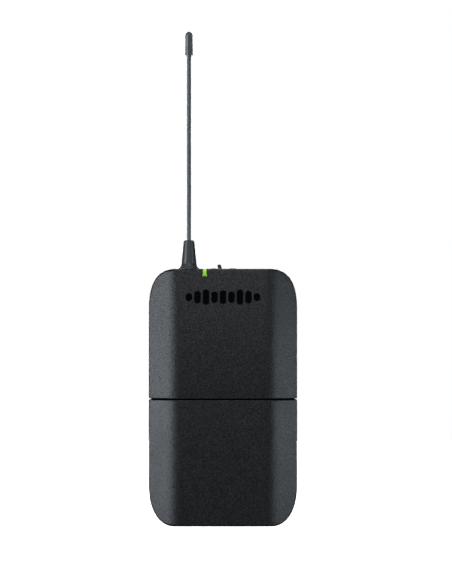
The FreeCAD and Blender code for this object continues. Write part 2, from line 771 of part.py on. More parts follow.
def contact_bridge():
    """Plate under both cells that joins them in series."""
    z = (wall, wall + contact_sheet)
    plate = box((cell_left_x - contact_half_width, floor_flat_half - touch_gap),
                (sill_front_y + sill_wall + touch_gap, 4.5), z)
    return fuse(plate, leaf(cell_right_x, z[1] - 0.1, cell_low_z))


def upper_contact(x, with_leaf):
    """Plate under the bulkhead, with a tab that reaches the circuit board."""
    z = (bulkhead_low_z - contact_sheet, bulkhead_low_z)
    plate = box((x - contact_half_width, x + contact_half_width), (-4.0, 4.5), z)
    tab = box((x - 1.5, x + 1.5), (board_front_y - contact_sheet, board_front_y), (z[0], board_low_z + 2.6))
    body = plate.fuse(tab)
    if with_leaf:
        body = body.fuse(leaf(x, z[0] + 0.1, cell_top_z))
    return body.removeSplitter()


# ================================================================ antenna
def antenna_boot():
    """Rubber boot: flange inside the case, neck through the top wall, skirt and tapered sleeve above it."""
    low, top = inner_top_z - boot_flange_height, case_height
    profile = [(ferrule_radius, low), (boot_flange_radius, low),
               (boot_flange_radius, inner_top_z), (boot_neck_radius, inner_top_z), (boot_neck_radius, top),
               (boot_skirt_radius, top), (boot_skirt_radius - 0.15, top + 0.45),
               (boot_low_radius + 0.25, top + 1.5), (boot_low_radius, top + boot_skirt_height),
               (boot_top_radius + 0.25, top + boot_height - 0.3), (boot_top_radius - 0.1, top + boot_height),
               (whip_radius, top + boot_height), (whip_radius, top + ferrule_above_top),
               (ferrule_radius, top + ferrule_above_top)]
    return turned(profile, antenna_x, 0)


def antenna_ferrule():
    low, high = case_height - ferrule_below_top, case_height + ferrule_above_top
    outer = cylinder(ferrule_radius, V(antenna_x, 0, low), Z_AXIS, high - low)
    return outer.cut(cylinder(core_radius, V(antenna_x, 0, low + 1.5), Z_AXIS, high - low))


def antenna_core():
    low = case_height - ferrule_below_top + 1.5
    return cylinder(core_radius, V(antenna_x, 0, low), Z_AXIS, tip_low_z + 0.6 * tip_length - low)


def antenna_whip():
    low = case_height + ferrule_above_top
    length = tip_low_z + 0.4 * tip_length - low
    outer = cylinder(whip_radius, V(antenna_x, 0, low), Z_AXIS, length)
    return outer.cut(cylinder(core_radius, V(antenna_x, 0, low), Z_AXIS, length))


def antenna_tip():
    """Rounded cap over the end of the whip."""
    low, top = tip_low_z - collar_height, tip_low_z + tip_length
    dome_z = top - tip_top_radius
    dome_reach = tip_top_radius * math.sqrt(0.5)
    corners = [V(0, 0, top), V(0, 0, low), V(collar_radius, 0, low), V(collar_radius, 0, tip_low_z),
               V(tip_low_radius, 0, tip_low_z), V(tip_top_radius, 0, dome_z)]
    dome = Part.Arc(corners[-1], V(dome_reach, 0, dome_z + dome_reach), corners[0])
    edges = [Part.LineSegment(a, b) for a, b in zip(corners, corners[1:])] + [dome]
    cap = Part.Face(Part.Wire([edge.toShape() for edge in edges])).revolve(V(0, 0, 0), Z_AXIS, 360)
    cap.translate(V(antenna_x, 0, 0))
    start = V(antenna_x, 0, case_height)
    whip = cylinder(whip_radius, start, Z_AXIS, tip_low_z + 0.4 * tip_length - case_height)
    core = cylinder(core_radius, start, Z_AXIS, tip_low_z + 0.6 * tip_length - case_height)
    return cap.cut(whip).cut(core)


def antenna_contact():
    """Sprung strip from the board to the underside of the ferrule."""
    t = antenna_contact_sheet
    z = case_height - ferrule_below_top - t / 2
    y = board_front_y - t / 2
    points = [(-1.3, z), (y, z), (y, z - 5.0)]
    strip = ribbon(points, [0, 0.7, 0], t, in_yz, V(3.0, 0, 0))
    strip.translate(V(antenna_x - 1.5, 0, 0))
    return strip


# ================================================================ microphone jack
def jack_levels():
    top = case_height - jack_recess
    low = top - jack_length
    return low, low + jack_floor, top


def jack_shell():
    """Metal shell with the flange that the two case shells hold, and a key inside."""
    low, floor, top = jack_levels()
    flange_low = inner_top_z - jack_flange_thickness
    profile = [(jack_bore_radius, low), (jack_outer_radius, low), (jack_outer_radius, flange_low),
               (jack_flange_radius, flange_low), (jack_flange_radius, inner_top_z),
               (jack_outer_radius, inner_top_z), (jack_outer_radius, top - 0.2),
               (jack_outer_radius - 0.2, top), (jack_bore_radius + 0.2, top), (jack_bore_radius, top - 0.2)]
    key = box((jack_x - jack_key_width / 2, jack_x + jack_key_width / 2),
              (jack_bore_radius - jack_key_depth, jack_bore_radius + 0.4), (floor, top - 1.0))
    return fuse(turned(profile, jack_x, 0), key)


def jack_pin_points():
    reach = jack_pin_circle_radius * math.sqrt(0.5)
    return [(jack_x + i * reach, j * reach) for i, j in ((1, 1), (-1, 1), (-1, -1), (1, -1))]


def jack_pin_root(x, y, z):
    half = jack_pin_root_width / 2
    return box((x - half, x + half), (y - half, y + half), z)


def jack_insulator():
    low, floor, _ = jack_levels()
    body = cylinder(jack_bore_radius, V(jack_x, 0, low), Z_AXIS, floor - low)
    return body.cut(Part.makeCompound([jack_pin_root(x, y, (low, floor)) for x, y in jack_pin_points()]))


def jack_pins():
    low, floor, _ = jack_levels()
    pins = []
    for x, y in jack_pin_points():
        shoulder = floor + jack_pin_shoulder
        top = floor + jack_pin_stand
        root = jack_pin_root(x, y, (low - jack_pin_tail, shoulder))
        pin = cylinder(jack_pin_radius, V(x, y, shoulder), Z_AXIS, top - shoulder)
        pin = pin.makeFillet(0.35, edges_where(pin, lambda m, e: m.z > top - 0.01))
        pins.append(fuse(root, pin))
    return pins


def jack_leads():
    """Square leads bent from the jack's contacts to the board."""
    low, _, _ = jack_levels()
    leads = []
    bend = 0.8
    half = jack_lead_width / 2
    turn = bend * (1 - math.sqrt(0.5))
    start = low - jack_pin_tail
    for x, y in jack_pin_points():
        level = start - (jack_front_lead_drop if y < 0 else jack_back_lead_drop)
        path = Part.Wire([
            Part.LineSegment(V(x, y, start), V(x, y, level + bend)).toShape(),
            Part.Arc(V(x, y, level + bend), V(x, y + turn, level + turn), V(x, y + bend, level)).toShape(),
            Part.LineSegment(V(x, y + bend, level), V(x, board_front_y, level)).toShape()])
        corners = [V(x + i * half, y + j * half, start) for i, j in ((-1, -1), (1, -1), (1, 1), (-1, 1))]
        leads.append(path.makePipeShell([Part.makePolygon(corners + corners[:1])], True, False))
    return leads


# ================================================================ power switch and light
def bezel_levels():
    return inner_top_z - bezel_flange, case_height - bezel_floor_drop


def stem_slot(z):
    x = (slider_x - stem_half_width - fit_gap, slider_x + slider_travel + stem_half_width + fit_gap)
    return box(x, (-stem_half_depth - fit_gap, stem_half_depth + fit_gap), z)


def switch_bezel():
    """Frame round the slider, with a raised guard at each end."""
    low, floor = bezel_levels()
    left, right = switch_x - bezel_length / 2, switch_x + bezel_length / 2
    y = (-bezel_depth / 2, bezel_depth / 2)
    top = case_height + bezel_pad_rise
    flange = box((left - 0.8, right + 0.8), (y[0] - 0.8, y[1] + 0.8), (low, inner_top_z))
    base = box((left, right), y, (inner_top_z - 0.1, floor))
    rounded = []
    for x in ((left, left + bezel_pad_left), (right - bezel_pad_right, right)):
        pad = box(x, y, (floor - 0.1, top))
        rounded.append(pad.makeFillet(0.15, edges_where(pad, lambda m, e: m.z > top - 0.01)))
    return fuse(flange, base, *rounded).cut(stem_slot((low - 1, top + 1)))


def power_slider():
    """Thumb slider: a plate on the bezel's floor and a leaning fin."""
    top = case_height
    _, floor = bezel_levels()
    fin = [(-0.75, -0.1), (1.1, -0.1), (0.75, fin_height * 0.66), (0.4, fin_height * 0.93),
           (-0.2, fin_height), (-0.9, fin_height * 0.8), (-1.1, fin_height * 0.66), (-0.75, fin_height * 0.5)]
    fin = [(slider_x + x, top + z) for x, z in fin]
    face = rounded_face(fin, [0, 0, 0.3, 0.3, 0.3, 0.2, 0.15, 0.2], in_xz)
    blade = face.extrude(V(0, 2 * fin_half_depth, 0))
    blade.translate(V(0, -fin_half_depth, 0))
    plate = box((slider_x - slider_half_length, slider_x + slider_half_length),
                (-fin_half_depth, fin_half_depth), (floor + 0.05, top))
    socket = box((slider_x - stem_half_width, slider_x + stem_half_width),
                 (-stem_half_depth, stem_half_depth), (floor - 1, top + 0.3))
    return fuse(blade, plate).cut(socket)


def switch_body_top():
    return inner_top_z - bezel_flange - 0.2


def switch_stem():
    low = switch_body_top() - 2.5
    return box((slider_x - stem_half_width, slider_x + stem_half_width),
               (-stem_half_depth, stem_half_depth), (low, case_height + 0.3))


def switch_body():
    """Slide switch on the board's front side, under the bezel."""
    top = switch_body_top()
    body = box((switch_x - switch_body_length / 2, switch_x + switch_body_length / 2),
               (-2.2, board_front_y), (top - switch_body_height, top))
    return body.cut(stem_slot((top - 2.6, top + 1)))


def light_levels():
    top = inner_top_z - 0.35
    return top - light_leg_height, top


def light_pipe(form):
    """Clear guide from the board's lamp to the window on the front top edge."""
    head = box((light_x - light_width / 2, light_x + light_width / 2), (front_y - 1, front_y + light_depth),
               (case_height - light_height, case_height + 1)).common(form)
    leg = box((light_x - light_leg_width / 2, light_x + light_leg_width / 2),
              (inner_front_y + 0.2, board_front_y - lamp_depth), light_levels())
    return fuse(head, leg)


def status_lamp():
    return box((light_x - lamp_width / 2, light_x + lamp_width / 2),
               (board_front_y - lamp_depth, board_front_y), light_levels())


def light_channel():
    """Room for the light guide's leg and its lamp between the ribs under the top wall."""
    low, high = light_levels()
    half = lamp_width / 2 + touch_gap
    return box((light_x - half, light_x + half), (inner_front_y, board_front_y),
               (low - touch_gap, high + touch_gap))


# ================================================================ circuit board
def main_board():
    """One L-shaped board: the main part above the battery bay, and a tongue down behind the control panel."""
    y = (board_front_y, board_back_y)
    limit = case_form(wall + board_edge_gap)
    main = box((-inner_half_width, inner_half_width), y, (board_low_z, board_top_z))
    lead_low = jack_levels()[0] - jack_pin_tail - jack_back_lead_drop
    jack_room_x = jack_x - jack_flange_radius - seat_thickness - board_edge_gap
    main = main.cut(box((jack_room_x, case_width), (0, back_y), (lead_low + jack_lead_width, case_height)))
    tongue = box((tongue_left_x, tongue_right_x), y, (tongue_low_z, board_low_z + 1))
    board = main.fuse(tongue).removeSplitter().common(limit)
    holes = [boss(x, z, boss_radius + 0.25, y[0] - 1, y[1] + 1) for x, z in case_screw_points()]
    holes += [boss(x, z, board_pilot_radius + 0.15, y[0] - 1, y[1] + 1) for x, z in board_screw_points]
    return board.cut(Part.makeCompound(holes))


def on_board(x, z, width, height, rise):
    """A block that stands on the board's front side, centred at (x, z)."""
    return box((x - width / 2, x + width / 2), (board_front_y - rise, board_front_y),
               (z - height / 2, z + height / 2))


shield_x, shield_width, shield_height, shield_rise = -12.0, 18.0, 22.0, 2.6
shield_z = board_low_z + 10.5 + shield_height / 2


def rf_shield():
    """Folded tin can over the radio chip, with a grid of vent holes."""
    sheet = 0.25
    face_y = board_front_y - shield_rise
    can = on_board(shield_x, shield_z, shield_width, shield_height, shield_rise)
    inside = on_board(shield_x, shield_z, shield_width - 2 * sheet, shield_height - 2 * sheet,
                      shield_rise - sheet)
    vents = [boss(shield_x + 3.6 * i, shield_z + 4.4 * j, 0.6, face_y - 1, face_y + 1)
             for i in (-1.5, -0.5, 0.5, 1.5) for j in (-1.5, -0.5, 0.5, 1.5)]
    return can.cut(inside).cut(Part.makeCompound(vents))


def small_chips():
    """Resistors and ceramic capacitors in rows on the board."""
    low = board_low_z + 2.0
    rows = [(x, low) for x in (-19.0, -16.5, -14.0, -11.5, -9.0)]
    rows += [(x, low + 3.2) for x in (-19.0, -16.5, -14.0, -11.5, -9.0)]
    rows += [(3.2, low + 14.0 + 2.4 * k) for k in range(5)]
    rows += [(17.3, low + 12.0 + 2.4 * k) for k in range(5)]
    return [on_board(x, z, 1.6, 0.8, 0.6) for x, z in rows]


def storage_capacitors():
    cans = []
    for x, z in ((8.0, board_low_z + 26.5), (14.0, board_low_z + 26.5), (20.0, board_low_z + 26.5)):
        can = boss(x, z, 2.0, board_front_y - 5.0, board_front_y)
        cans.append(can.makeFillet(0.3, edges_where(can, lambda m, e: m.y < board_front_y - 4.99)))
    return cans


def power_inductor():
    x, z = 17.8, board_low_z + 7.5
    return fuse(on_board(x, z, 5.6, 5.6, 0.8), boss(x, z, 2.1, board_front_y - 2.2, board_front_y),
                boss(x, z, 2.7, board_front_y - 2.8, board_front_y - 2.1))


def crystal():
    block = on_board(21.5, board_low_z + 19.0, 5.0, 3.2, 1.0)
    return block.makeFillet(0.5, edges_where(block, lambda m, e: runs_along(e, Y_AXIS)))


# ================================================================ control panel
def control_panel():
    """Inner cover beside the cells, with the window, two buttons and the gain control."""
    x, z = (panel_left_x, panel_right_x), (panel_low_z, panel_top_z)
    outer = box(x, (panel_front_y, board_front_y - 1.2), z).common(case_form(wall + 0.25))
    hollow = box((x[0] + panel_skirt, x[1] - panel_skirt), (panel_front_y + panel_thickness, board_front_y),
                 (z[0] + panel_skirt, z[1] - panel_skirt))
    panel = outer.cut(hollow)
    holes = [boss(bx, button_z, button_radius + touch_gap, panel_front_y - 1, 0) for bx in button_places()]
    holes.append(boss(panel_middle_x, gain_z, gain_radius + touch_gap, panel_front_y - 1, 0))
    holes.append(box(window_span()[0], (panel_front_y - 1, 0), window_span()[1]))
    front_edges = edges_where(panel, lambda m, e: m.y < panel_front_y + 0.01)
    return panel.makeFillet(0.4, front_edges).cut(Part.makeCompound(holes))


def window_span():
    return ((panel_middle_x - window_width / 2, panel_middle_x + window_width / 2),
            (window_z - window_height / 2, window_z + window_height / 2))


def display_window():
    """Clear window, flush with the panel, with a ledge behind it."""
    x, z = window_span()
    back = panel_front_y + panel_thickness
    pane = box((x[0] + 0.05, x[1] - 0.05), (panel_front_y + 0.1, back), (z[0] + 0.05, z[1] - 0.05))
    ledge = box((x[0] - 0.8, x[1] + 0.8), (back, back + window_thickness), (z[0] - 0.8, z[1] + 0.8))
    return pane.fuse(ledge).removeSplitter()


def display_module():
    window_back_y = panel_front_y + panel_thickness + window_thickness
    return on_board(panel_middle_x, window_z, 11.6, 7.6, board_front_y - window_back_y - 0.3)


def button_places():
    return panel_middle_x - button_spread, panel_middle_x + button_spread


def push_button(x):
    """Button cap with a flange behind the panel and a post that ends just over its switch."""
    back = panel_front_y + panel_thickness
    cap = boss(x, button_z, button_radius, panel_front_y - button_rise, back + 0.2)
    cap = cap.makeFillet(0.35, edges_where(cap, lambda m, e: m.y < panel_front_y - button_rise + 0.01))
    flange = boss(x, button_z, button_radius + button_flange, back + touch_gap, back + touch_gap + 0.8)
    post = boss(x, button_z, 1.3, back + 0.5, board_front_y - tact_height - button_travel - touch_gap)
    return fuse(cap, flange, post)


def tact_switches():
    """The two push switches on the board's tongue."""
    parts = []
    for x in button_places():
        body = on_board(x, button_z, tact_width, tact_width, tact_height)
        dish = boss(x, button_z, 1.8, board_front_y - tact_height - 1, board_front_y - tact_height + 0.2)
        parts.append(body.cut(dish))
    return parts


def gain_knob():
    """Small rotary control with a driver slot, finger notches and a shaft into its potentiometer."""
    back = panel_front_y + panel_thickness
    face_y = panel_front_y - gain_rise
    knob = boss(panel_middle_x, gain_z, gain_radius, face_y, back + 0.2)
    flange = boss(panel_middle_x, gain_z, gain_radius + 0.6, back + touch_gap, back + touch_gap + 0.8)
    shaft = boss(panel_middle_x, gain_z, 1.5, back + 0.5, board_front_y - 2.0)
    cuts = [box((panel_middle_x - 0.5, panel_middle_x + 0.5), (face_y - 1, face_y + 0.8),
                (gain_z - 2.6, gain_z + 2.6))]
    notch_circle = gain_radius + 0.12
    for k in range(16):
        angle = 2 * math.pi * k / 16
        notch_x = panel_middle_x + notch_circle * math.cos(angle)
        notch_z = gain_z + notch_circle * math.sin(angle)
        cuts.append(boss(notch_x, notch_z, 0.4, face_y - 1, panel_front_y - 0.05))
    return fuse(knob, flange, shaft).cut(Part.makeCompound(cuts))


def gain_pot():
    body = on_board(panel_middle_x, gain_z, 8.0, 8.0, 2.8)
    return body.cut(boss(panel_middle_x, gain_z, 1.6, 0, board_front_y - 1.9))


# ================================================================ screws
def cross_head_screw(x, z, seat_y, head_radius, head_height, shank_radius, tip_y):
    """Screw with its head towards the seat's open side; seat_y to tip_y is the shank."""
    out = 1 if seat_y > tip_y else -1
    head = cylinder(head_radius, V(x, seat_y, z), Y_AXIS * out, head_height)
    head = head.makeFillet(0.3, edges_where(head, lambda m, e: abs(m.y - seat_y - out * head_height) < 0.01))
    shank = cylinder(shank_radius, V(x, seat_y, z), Y_AXIS * -out, abs(seat_y - tip_y))
    top = seat_y + out * head_height
    y = sorted((top - out * 0.7, top + out * 0.5))
    reach, half_slot = head_radius * 0.62, head_radius * 0.13
    cross = [box((x - reach, x + reach), y, (z - half_slot, z + half_slot)),
             box((x - half_slot, x + half_slot), y, (z - reach, z + reach))]
    return fuse(head, shank).cut(Part.makeCompound(cross))


def case_screws():
    seat = back_y - screw_recess_depth
    return [cross_head_screw(x, z, seat, screw_head_radius, screw_head_height, screw_pilot_radius,
                             front_inner_y(x) + 0.6) for x, z in case_screw_points()]


def board_screws():
    return [cross_head_screw(x, z, board_front_y, 1.4, 1.0, board_pilot_radius, inner_back_y - 0.6)
            for x, z in board_screw_points]


# ================================================================ belt clip and label
def belt_clip():
    """Sprung steel clip: a folded heel, a long arm with a turned-out tip, and two ears with pins."""
    t = clip_sheet
    arm_y = back_y + clip_stand_off + t / 2
    top_z = saddle_top_z + 1.2
    tip_y = back_y + clip_tip_gap + t / 2
    low_z = top_z - clip_arm_length
    saddle_low_z = saddle_top_z - saddle_height
    points = [(back_y + 2.6, saddle_top_z + 2.9), (arm_y - 0.4, saddle_top_z + 2.9),
              (arm_y, saddle_low_z - 3), (arm_y - 0.8, saddle_low_z - 10),
              (tip_y, low_z + 6.0), (tip_y + 3.0, low_z)]
    half = saddle_half_width + clip_gap + t
    strip = ribbon(points, [0, 2.6, 30.0, 30.0, 4.0, 0], t, in_yz, V(2 * half, 0, 0))
    strip.translate(V(-half, 0, 0))
    shoulder_z = saddle_low_z - 6
    tip_half = clip_tip_half_width
    heel_z = saddle_top_z + 9
    plan = [(-half, heel_z), (-half, shoulder_z), (-tip_half, shoulder_z - 12), (-tip_half, low_z - 2),
            (tip_half, low_z - 2), (tip_half, shoulder_z - 12), (half, shoulder_z), (half, heel_z)]
    face = rounded_face(plan, [0, 12, 12, 5, 5, 12, 12, 0], in_xz)
    face.translate(V(0, back_y - 5, 0))
    arm = strip.common(face.extrude(V(0, 40, 0)))
    added = []
    clip_eye_radius = clip_pivot_depth - clip_ear_gap
    ear = [(clip_pivot_y, clip_pivot_z + clip_eye_radius), (arm_y, clip_pivot_z + 5.0),
           (arm_y, clip_pivot_z - 7.0), (clip_pivot_y, clip_pivot_z - clip_eye_radius)]
    for side in (-1, 1):
        inner = side * (saddle_half_width + clip_gap)
        span = sorted((inner, side * half))
        eye = cylinder(clip_eye_radius, V(span[0], clip_pivot_y, clip_pivot_z), X_AXIS, t)
        plate = Part.Face(Part.makePolygon([V(span[0], y, z) for y, z in ear + ear[:1]])).extrude(V(t, 0, 0))
        pin = cylinder(clip_pivot_radius, V(inner + side * 0.2, clip_pivot_y, clip_pivot_z), X_AXIS * -side,
                       clip_pin_length + clip_gap + 0.2)
        added += [eye, plate, pin]
    return fuse(arm, *added)


def rating_label():
    label = box((-label_half_width, label_half_width),
                (back_y - label_recess, back_y - label_recess + label_thickness),
                (label_low_z, label_low_z + label_height))
    return label.makeFillet(2.0, edges_where(label, lambda m, e: runs_along(e, Y_AXIS)))


# ================================================================ assembly
def build():
    """Every node's name and its solid or list of solids."""
    form = build_case_form()
    core = case_form(wall)
    lip_form = case_form(lip_inset)
    rim_form = case_form(lip_inset - fit_gap)
    button_left, button_right = button_places()
    return {
        "rear_case": rear_case(form, core, lip_form),
        "front_case": front_case(form, core, lip_form),
        "battery_door": battery_door(form, core, rim_form),
        "hinge_pins": hinge_pins(),
        "latch_left": latch_tab(-1),
        "latch_right": latch_tab(1),
        "case_screws": case_screws(),
        "belt_clip": belt_clip(),
        "rating_label": rating_label(),
        "antenna_boot": antenna_boot(),
        "antenna_ferrule": antenna_ferrule(),
        "antenna_core": antenna_core(),
        "antenna_whip": antenna_whip(),
        "antenna_tip": antenna_tip(),
        "antenna_contact": antenna_contact(),
        "jack_shell": jack_shell(),
        "jack_insulator": jack_insulator(),
        "jack_pins": jack_pins(),
        "jack_leads": jack_leads(),
        "switch_bezel": switch_bezel(),
        "power_slider": power_slider(),
        "switch_stem": switch_stem(),
        "switch_body": switch_body(),
        "light_pipe": light_pipe(form),
        "status_lamp": status_lamp(),
        "main_board": main_board(),
        "board_screws": board_screws(),
        "rf_shield": rf_shield(),
        "radio_chip": on_board(shield_x, shield_z, 6.0, 6.0, 1.0),
        "control_chip": on_board(10.5, board_low_z + 17.0, 8.0, 8.0, 1.2),
        "audio_chip": on_board(10.0, board_low_z + 6.0, 5.0, 6.2, 1.4),
        "crystal": crystal(),
        "power_inductor": power_inductor(),
        "storage_capacitors": storage_capacitors(),
        "small_chips": small_chips(),
        "control_panel": control_panel(),
        "display_window": display_window(),
        "display_module": display_module(),
        "group_button": push_button(button_left),
        "channel_button": push_button(button_right),
        "tact_switches": tact_switches(),
        "gain_knob": gain_knob(),
        "gain_pot": gain_pot(),
        "battery_cans": [battery_can(x, up) for x, up in cells()],
        "battery_wraps": [battery_wrap(x, up) for x, up in cells()],
        "contact_bridge": contact_bridge(),
        "contact_positive": upper_contact(cell_left_x, True),
        "contact_negative": upper_contact(cell_right_x, False),
        "lower_spring": coil_spring(cell_left_x, wall + contact_sheet, cell_low_z, True),
        "upper_spring": coil_spring(cell_right_x, cell_top_z, bulkhead_low_z - contact_sheet, False),
    }


def main():
    os.makedirs("parts", exist_ok=True)
    for name, shape in build().items():
        solids = shape if isinstance(shape, list) else [shape]
        Part.makeCompound([s for item in solids for s in item.Solids]).exportStep(f"parts/{name}.step")


if __name__ == "__main__":
    main()
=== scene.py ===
import math

import bpy
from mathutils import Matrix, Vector


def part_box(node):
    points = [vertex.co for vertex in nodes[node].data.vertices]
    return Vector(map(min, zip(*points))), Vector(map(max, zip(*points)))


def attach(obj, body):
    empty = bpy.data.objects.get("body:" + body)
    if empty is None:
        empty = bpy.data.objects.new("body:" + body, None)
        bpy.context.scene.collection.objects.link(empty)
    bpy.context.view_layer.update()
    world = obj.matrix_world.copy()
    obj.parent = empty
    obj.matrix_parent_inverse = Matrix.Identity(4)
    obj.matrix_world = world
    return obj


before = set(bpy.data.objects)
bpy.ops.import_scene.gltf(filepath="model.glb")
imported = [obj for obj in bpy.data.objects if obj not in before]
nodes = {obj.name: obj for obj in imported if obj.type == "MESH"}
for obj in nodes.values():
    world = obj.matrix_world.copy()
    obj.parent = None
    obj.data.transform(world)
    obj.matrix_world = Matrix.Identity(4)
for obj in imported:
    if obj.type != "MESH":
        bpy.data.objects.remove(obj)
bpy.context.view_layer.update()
MM = 0.001


# ---------------------------------------------------------------------------
# Studio: the pack is held just clear of a pale sheet, so its door can swing
# right down. Soft boxes stand beside, above and behind it, and a long lens is
# level with the middle of the picture, square to its front.
# ---------------------------------------------------------------------------
front_low, front_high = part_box("front_case")
picture_height = 252.1 * MM
picture_middle = Vector((1.3 * MM, -3 * MM, 100.8 * MM))
lens, sensor_size = 200, 36
camera_distance = picture_height * lens / sensor_size
floor_radius = 1.1
floor_z = -14 * MM

scene = bpy.context.scene
scene.view_settings.view_transform = "Standard"

bpy.ops.object.select_all(action="DESELECT")
bpy.ops.object.camera_add(location=picture_middle - Vector((0, camera_distance, 0)),
                          rotation=(math.pi / 2, 0, 0))
camera = bpy.context.object
camera.name = "studio_camera"
camera.data.lens = lens
camera.data.clip_start = 0.05
scene.camera = camera

bpy.ops.mesh.primitive_circle_add(vertices=96, radius=floor_radius, fill_type="NGON",
                                  location=(0, 0, floor_z))
floor = bpy.context.object
floor.name = "floor"


def add_node(tree, kind, settings=None, **inputs):
    """Adds a shader node. Inputs are given by socket name, as a value or as another node's output."""
    node = tree.nodes.new(kind)
    for name, value in (settings or {}).items():
        setattr(node, name, value)
    for name, value in inputs.items():
        key = int(name[1:]) if name[1:].isdigit() else name.replace("_", " ")
        socket = node.inputs[key]
        if isinstance(value, bpy.types.NodeSocket):
            tree.links.new(value, socket)
        else:
            socket.default_value = value
    return node


def start_finish(name, color, roughness, **sockets):
    """A material with a principled shader. Returns it, its tree, its shader and places in millimetres."""
    material = bpy.data.materials.new(name)
    material.use_nodes = True
    material.diffuse_color = (*color, 1)
    tree = material.node_tree
    shader = tree.nodes["Principled BSDF"]
    shader.inputs["Base Color"].default_value = (*color, 1)
    shader.inputs["Roughness"].default_value = roughness
    for socket, value in sockets.items():
        shader.inputs[socket.replace("_", " ")].default_value = value
    coordinates = add_node(tree, "ShaderNodeTexCoord")
    place = add_node(tree, "ShaderNodeMapping", Vector=coordinates.outputs["Object"],
                     Scale=(1 / MM, 1 / MM, 1 / MM))
    return material, tree, shader, place.outputs["Vector"]


def noise(tree, place, size, detail=2.0, roughness=0.5):
    """Cloudy pattern from 0 to 1 with features of about the size given, in millimetres."""
    cloud = add_node(tree, "ShaderNodeTexNoise", Vector=place, Scale=1 / size, Detail=detail,
                     Roughness=roughness)
    return cloud.outputs["Fac"]


def spread(tree, pattern, low, high, start=0.3, end=0.7):
    """Turns a pattern's range into the range low to high."""
    limits = {"From_Min": start, "From_Max": end, "To_Min": low, "To_Max": high}
    return add_node(tree, "ShaderNodeMapRange", Value=pattern, **limits).outputs["Result"]


def calculate(tree, operation, *values):
    """One arithmetic step on values or other nodes' outputs."""
    inputs = {f"_{i}": value for i, value in enumerate(values)}
    return add_node(tree, "ShaderNodeMath", {"operation": operation}, **inputs).outputs[0]


def ramp(tree, pattern, stops, step=False):
    """Colours from a pattern. Stops are (position, colour); step holds each colour up to the next."""
    colors = add_node(tree, "ShaderNodeValToRGB", Fac=pattern)
    colors.color_ramp.interpolation = "CONSTANT" if step else "LINEAR"
    elements = colors.color_ramp.elements
    while len(elements) < len(stops):
        elements.new(0.5)
    for element, (position, color) in zip(elements, stops):
        element.position = position
        element.color = (*color, 1)
    return colors.outputs["Color"]


def blend_colors(tree, share, first, second):
    """First colour where share is 0, second where it is 1."""
    mixer = tree.nodes.new("ShaderNodeMix")
    mixer.data_type = "RGBA"
    for socket, value in ((mixer.inputs[0], share), (mixer.inputs[6], first), (mixer.inputs[7], second)):
        if isinstance(value, bpy.types.NodeSocket):
            tree.links.new(value, socket)
        else:
            socket.default_value = value if isinstance(value, float) else (*value, 1)
    return mixer.outputs[2]


def shade(color, amount):
    """The same colour, darker or lighter."""
    return tuple(channel * amount for channel in color)


def relief(tree, shader, height, depth, under=None):
    """Raises the surface by a pattern, to a depth in millimetres. Returns the normal for a further layer."""
    bump = add_node(tree, "ShaderNodeBump", Height=height, Distance=depth * MM, Strength=1.0)
    if under is not None:
        tree.links.new(under, bump.inputs["Normal"])
    tree.links.new(bump.outputs["Normal"], shader.inputs["Normal"])
    return bump.outputs["Normal"]


def wear(piece, material):
    """Gives a piece its material in place of the plain one, and a slot if it is a new piece."""
    piece.data.materials.clear()
    piece.data.materials.append(material)


paper, tree, shader, place = start_finish("pale_paper", (0.86, 0.86, 0.86), 0.9)
pale = ramp(tree, noise(tree, place, 90.0), [(0.35, (0.87, 0.87, 0.87)), (0.65, (0.89, 0.89, 0.89))])
seen_direct = add_node(tree, "ShaderNodeLightPath").outputs["Is Camera Ray"]
tree.links.new(blend_colors(tree, seen_direct, (0.22, 0.22, 0.22), pale), shader.inputs["Base Color"])
shader.inputs["Emission Color"].default_value = (1, 1, 1, 1)
tree.links.new(calculate(tree, "MULTIPLY", seen_direct, 0.7), shader.inputs["Emission Strength"])
wear(floor, paper)


def soft_box(name, place, target, size, power, color=(1, 1, 1)):
    """Rectangular studio light, aimed at a point."""
    bpy.ops.object.light_add(type="AREA", location=place)
    light = bpy.context.object
    light.name = name
    light.data.shape = "RECTANGLE"
    light.data.size, light.data.size_y = size
    light.data.energy = power
    light.data.color = color
    light.rotation_euler = (Vector(target) - Vector(place)).to_track_quat("-Z", "Y").to_euler()


body_middle = (0, 0, 70 * MM)
soft_box("left_box", (-1.07, -0.67, 0.06), body_middle, (0.35, 0.9), 20.2, (0.86, 0.92, 1.0))
soft_box("right_box", (1.07, -0.67, -0.10), body_middle, (0.35, 0.7), 13.6, (0.81, 0.925, 1.0))
soft_box("high_box", (0.0, -1.20, 0.80), body_middle, (1.0, 0.35), 5.9, (0.95, 0.99, 1.0))
soft_box("top_box", (0.0, -0.05, 1.3), (0, 0, 0.1), (1.4, 1.0), 4.0)
soft_box("back_left_box", (-0.40, 1.30, 0.32), body_middle, (0.5, 0.8), 15.0)
soft_box("back_right_box", (0.40, 1.30, 0.32), body_middle, (0.5, 0.8), 15.0)
soft_box("back_high_box", (0.0, 1.25, 0.85), body_middle, (1.0, 0.4), 8.0)

world = bpy.data.worlds.new("studio_air")
world.use_nodes = True
scene.world = world
sky = world.node_tree
seen = add_node(sky, "ShaderNodeLightPath")
glow = sky.nodes["Background"]
glow.inputs["Color"].default_value = (0.020, 0.021, 0.023, 1)
white = add_node(sky, "ShaderNodeBackground", Color=(1, 1, 1, 1), Strength=1.0)
both = add_node(sky, "ShaderNodeMixShader", _0=seen.outputs["Is Camera Ray"], _1=glow.outputs[0],
                _2=white.outputs[0])
sky.links.new(both.outputs[0], sky.nodes["World Output"].inputs["Surface"])


